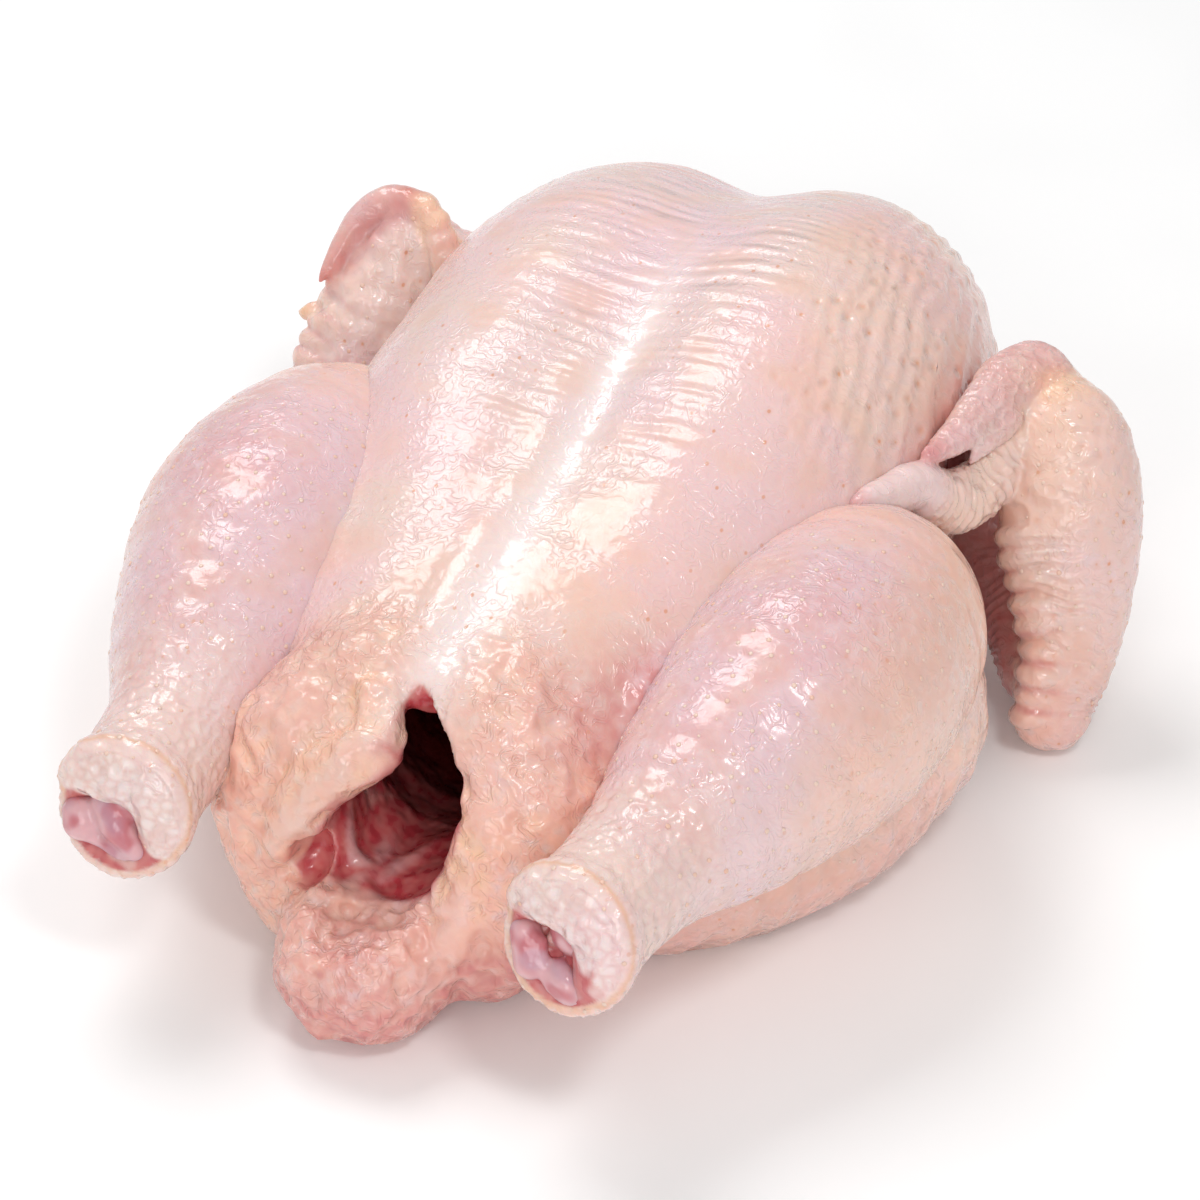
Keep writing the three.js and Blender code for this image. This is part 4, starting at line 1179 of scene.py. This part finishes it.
def wing_masks(p, side):
    """Where a wing's skin is fatty, rosy, red at a tip, or ribbed, and where shade is painted on it."""
    x, y, z = p.T
    forearm = smooth_step(forearm_form(side).at(p), 4, 0)
    edge = rear_edge(side)[0]
    place, off_edge = run_along(p, edge)
    beaded = smooth_step(off_edge, 15, 7)
    spacing = place.max()/round(place.max()/BEAD_SPACING)
    arm = near(p, ARM[side], 0, 2)*(1-forearm)
    # Painted shade, over some real red of the meat: an arm is darker red on the side that the body covers,
    # where shade falls
    start, end = np.array(ARM[side])[[0, -1], :2]
    outward = side*np.array((start[1]-end[1], end[0]-start[0]))/np.linalg.norm(end-start)
    covered_side_shade = arm*smooth_step((p[:, :2]-start)@outward, 6, -4)
    to_front = (p-edge[len(edge)//2])@np.array(FOREARM_THIN_WAY)
    between = beaded*np.sin(math.pi*place/spacing)**6
    tips = patch(p, WING_TIPS[side])
    if side == RIGHT:
        thumb, hand, place = right_hand(p)
        finger = hand*smooth_step(place, BAND_END, FINGER_START)
        band = hand*(1-finger)*smooth_step(place, 4, 12)
        wrist = patch(p, RIGHT_WRIST)
        # Painted shade: under also darkens the back of the forearm along its beaded edge.
        under = np.maximum(covered_side_shade*smooth_step(x, 104, 84),
                           0.6*smooth_step(off_edge, 9, 3)*smooth_step(to_front, 0, -3))
        seam = 0*x
        dotted = 1-hand
    else:
        thumb = near(p, LEFT_THUMB, 0, 1)
        finger = band = 0*x
        folds = left_folds(p)
        wrist = nearest_of(p, (LEFT_EDGE, *SPURS), 0.5, 2.5)
        under = covered_side_shade
        dotted = 0.3
        # Painted shade: seam paints the grooves of the long folds darker red and less pale, on the forearm's
        # front side.
        seam = (smooth_step(folds, 0, -0.35)*forearm*(1-thumb)*(1-wrist)*(1-beaded)
                * smooth_step(to_front, -2, 2))
    return {
        "fat": 0.3*forearm*(side == RIGHT)+0.5*beaded+0.6*band+0.3*wrist-0.4*thumb,
        "butter": 0.4*band+0.7*wrist+0.3*beaded*smooth_step(z, 10, 45)+0.25*forearm*smooth_step(z, 50, 66),
        # Painted shade: the forearm grows rosier low down, near the board.
        "rose_and_shade": 0.45*thumb+0.25*finger+0.25*forearm*smooth_step(z, 45, 10)+0.9*under+0.7*seam+0.7*between,
        "lilac": (0.5*smooth_step(side*x, 95, 106)*smooth_step(z, 20, 50)+0.2*thumb
                  + 0.2*forearm*(side == LEFT)),
        "pale": 0.45*finger+0.3*band+0.35*forearm*(1-seam)*(side == LEFT),
        # Painted shade: under and seam redden and darken the shaded underside and the fold grooves, through
        # rose, raw and deep.
        "raw": 0.55*tips+0.35*under+0.25*seam,
        "deep": 0.2*under,
        "wrinkle": 0.35+0.3*band+0.1*beaded,
        "across": 0*x,
        "dimple": 0.5*forearm*(1-beaded)*(1-thumb),
        "film": 0.5+0*x,
        "specks": 0.9*forearm*(1-thumb),
        "edge": 0*x,
        "dots": forearm*(1-thumb)*(1-beaded)*dotted*smooth_step(z, 4, 12),
    }


def wing_relief(p, side):
    """Wrinkles that run in from the rear edge, ribs across the hand, and net scales on the thumb."""
    place, off = run_along(p, rear_edge(side)[0])
    heights = 0.25*ripple(p, 14, 21)+0.12*ripple(p, 4.5, 22)
    if side == LEFT:
        folds = 1.4*left_folds(p)+0.5*ripple(p*(1, 1, 0.5), 3, 56)
        return heights+folds*near(p, FOREARM[LEFT], 1, 4)
    turns = place/PLEAT_SPACING+0.9*ripple(p, 9, 51)+0.12*off
    heights += 0.6*smooth_step(off, 26, 16)*smooth_step(off, 10, 15)*(np.abs(np.sin(math.pi*turns))-0.6)
    thumb, hand, place = right_hand(p)
    band = hand*smooth_step(place, 2, 10)*smooth_step(place, FINGER_START, BAND_END)
    ribs = np.abs(np.sin(math.pi*(place/PLEAT_SPACING+0.8*ripple(p, 7, 52))))
    heights += band*(0.55*ribs+0.5*ripple(p, 3.4, 57)-0.3)
    return heights+thumb*0.4*(lobules(warped(p, 5, 0.4, 53), 2.7, 54, 0.3)-0.6)


class CHICKEN_OT_wings(bpy.types.Operator):
    """Makes the two wings, folded back under the shoulders"""
    bl_idname = "chicken.wings"
    bl_label = "Wings"

    def execute(self, context):
        for side in SIDES:
            space = wing_space(side, context.scene.chicken_sizes.wing_step)
            skinned(f"{SIDE_NAME[side]}_wing", space, lambda p: wing_relief(p, side),
                    lambda p: wing_masks(p, side))
        return {"FINISHED"}


# The view and the setting

# Angles in degrees, lengths in millimetres
CAMERA = {"azimuth": 25.0, "elevation": 37.5, "distance": 935.0, "lens": 123.33, "sensor": 36,
          "target": (8.6, 107.0, 45.0)}
BOARD_HALF = 4.0  # half the board's side, in metres
# Place in metres, size in metres and power in watts
LAMPS = {
    "key": ((-0.45, 0.3, 1.0), 0.5, 5.2),
    "window": ((0.45, -0.35, 1.0), 0.2, 2.2),
    "fill": ((0.35, -1.1, 0.6), 0.6, 4.0),
}
SKY = 0.49


class CHICKEN_OT_stage(bpy.types.Operator):
    """Makes the white board, the soft lights and the camera"""
    bl_idname = "chicken.stage"
    bl_label = "Stage"

    def execute(self, context):
        scene = context.scene
        azimuth, elevation = math.radians(CAMERA["azimuth"]), math.radians(CAMERA["elevation"])
        target = Vector(np.subtract(CAMERA["target"], FOOTPRINT_MIDDLE)*MM)
        level = math.cos(elevation)
        back = Vector((math.sin(azimuth)*level, -math.cos(azimuth)*level, math.sin(elevation)))
        camera = linked("camera", bpy.data.cameras.new("camera"))
        camera.data.lens = CAMERA["lens"]
        camera.data.sensor_width = CAMERA["sensor"]
        camera.location = target+back*CAMERA["distance"]*MM
        camera.rotation_euler = back.to_track_quat("Z", "Y").to_euler()
        scene.camera = camera

        h = BOARD_HALF
        mesh = bpy.data.meshes.new("board")
        mesh.from_pydata([(-h, -h, 0), (h, -h, 0), (h, h, 0), (-h, h, 0)], [], [(0, 1, 2, 3)])
        mesh.materials.append(finish("matt_white_board"))
        board = linked("board", mesh)

        world = bpy.data.worlds.new("studio")
        scene.world = world
        world.use_nodes = True
        world.node_tree.nodes["Background"].inputs["Color"].default_value = (1, 1, 1, 1)
        world.node_tree.nodes["Background"].inputs["Strength"].default_value = SKY
        for name, (spot, size, watts) in LAMPS.items():
            data = bpy.data.lights.new(name, "AREA")
            data.size = size
            data.energy = watts
            lamp = linked(name, data)
            lamp.location = spot
            lamp.rotation_euler = Vector(spot).to_track_quat("Z", "Y").to_euler()
        scene.view_settings.view_transform = "Standard"
        return {"FINISHED"}


def millimetres(name, description, default, least):
    return FloatProperty(name=name, description=f"{description}, in millimetres", default=default, min=least)


def fineness(name, piece, spacing):
    return millimetres(name, f"Spacing of the lattice for {piece}", spacing, 0.3)


def count(name, piece, default):
    return IntProperty(name=name, description=f"The most triangles in {piece}", default=default, min=1000)


def tone(name, description, colour):
    return FloatVectorProperty(name=name, description=description, default=linear(colour), size=4,
                               subtype="COLOR")


class ChickenSizes(bpy.types.PropertyGroup):
    trunk_step: fineness("Trunk fineness", "the trunk", 1.6)
    leg_step: fineness("Leg fineness", "a drumstick", 1.2)
    wing_step: fineness("Wing fineness", "a wing", 1.0)
    bone_step: fineness("Bone fineness", "a shin bone", 1.0)
    triangles: count("Skin triangles", "one piece of skin", 190000)
    bone_triangles: count("Bone triangles", "one bone", 30000)
    follicle_spacing: millimetres("Follicle spacing", "Least distance between raised follicles", 4.0, 1)
    follicle_least: millimetres("Smallest follicle", "Radius of the smallest follicle", 0.3, 0.1)
    follicle_most: millimetres("Largest follicle", "Radius of the largest follicle", 0.65, 0.1)


class ChickenTones(bpy.types.PropertyGroup):
    cream: tone("Cream", "Skin over fat", "#e6cbc1")
    pink: tone("Pink", "Skin over meat", "#eac7c4")
    lilac: tone("Lilac", "Cool skin over meat and sinew", "#e7cbd2")
    peach: tone("Peach", "Warm patches of skin", "#e9bda8")
    # Rose is the skin's own flush, and is also laid on as painted shade.
    rose_and_shade: tone("Rose", "Flushed skin", "#d28683")
    fat: tone("Fat", "Pink fat under thin skin", "#f5c4ae")
    butter: tone("Butter", "Yellow fat", "#f2c5a2")
    sinew: tone("Sinew", "White sinew and gristle", "#f3e5e3")
    dome: tone("Dome", "Pale skin over a follicle", "#e9cdbd")
    rim: tone("Rim", "Orange line where skin is cut", "#e2a877")
    flesh: tone("Flesh", "Raw red flesh", "#bd3f48")
    meat: tone("Meat", "Paler raw flesh", "#cd6f6c")
    # Painted shade over the real dark red inside the bird: the colour that deep leads to.
    dark_red_and_painted_shade: tone("Dark_red_and_painted_shade", "Dark inside of the hollow", "#521210")
    follicle: tone("Follicle", "Orange follicle specks", "#d98f60")
    cartilage: tone("Cartilage", "Milky pink cartilage", "#dfb2b6")
    lilac_bone: tone("Lilac bone", "Bluish cartilage", "#c09fb1")
    marrow: tone("Marrow", "Pink bone end", "#c4727a")
    board: tone("Board", "White board", "#ffffff")
    board_shade: tone("Board shade", "White board, a shade darker", "#fdfdfd")


class CHICKEN_PT_panel(bpy.types.Panel):
    """Lists the steps that build the bird"""
    bl_idname = "CHICKEN_PT_panel"
    bl_label = "Raw chicken"
    bl_space_type = "VIEW_3D"
    bl_region_type = "UI"
    bl_category = "Raw chicken"

    def draw(self, context):
        for step in STEPS:
            self.layout.operator(step.bl_idname)
        for group in (context.scene.chicken_sizes, context.scene.chicken_tones):
            for key in group.__annotations__:
                self.layout.prop(group, key)


STEPS = (CHICKEN_OT_trunk, CHICKEN_OT_drumsticks, CHICKEN_OT_shins, CHICKEN_OT_wings, CHICKEN_OT_stage)
CLASSES = (ChickenSizes, ChickenTones, *STEPS, CHICKEN_PT_panel)


def register():
    for cls in CLASSES:
        bpy.utils.register_class(cls)
    bpy.types.Scene.chicken_sizes = PointerProperty(type=ChickenSizes)
    bpy.types.Scene.chicken_tones = PointerProperty(type=ChickenTones)


def unregister():
    del bpy.types.Scene.chicken_tones
    del bpy.types.Scene.chicken_sizes
    for cls in reversed(CLASSES):
        bpy.utils.unregister_class(cls)


def main():
    register()
    bpy.ops.chicken.trunk()
    bpy.ops.chicken.drumsticks()
    bpy.ops.chicken.shins()
    bpy.ops.chicken.wings()
    bpy.ops.chicken.stage()


if __name__ == "__main__":
    main()
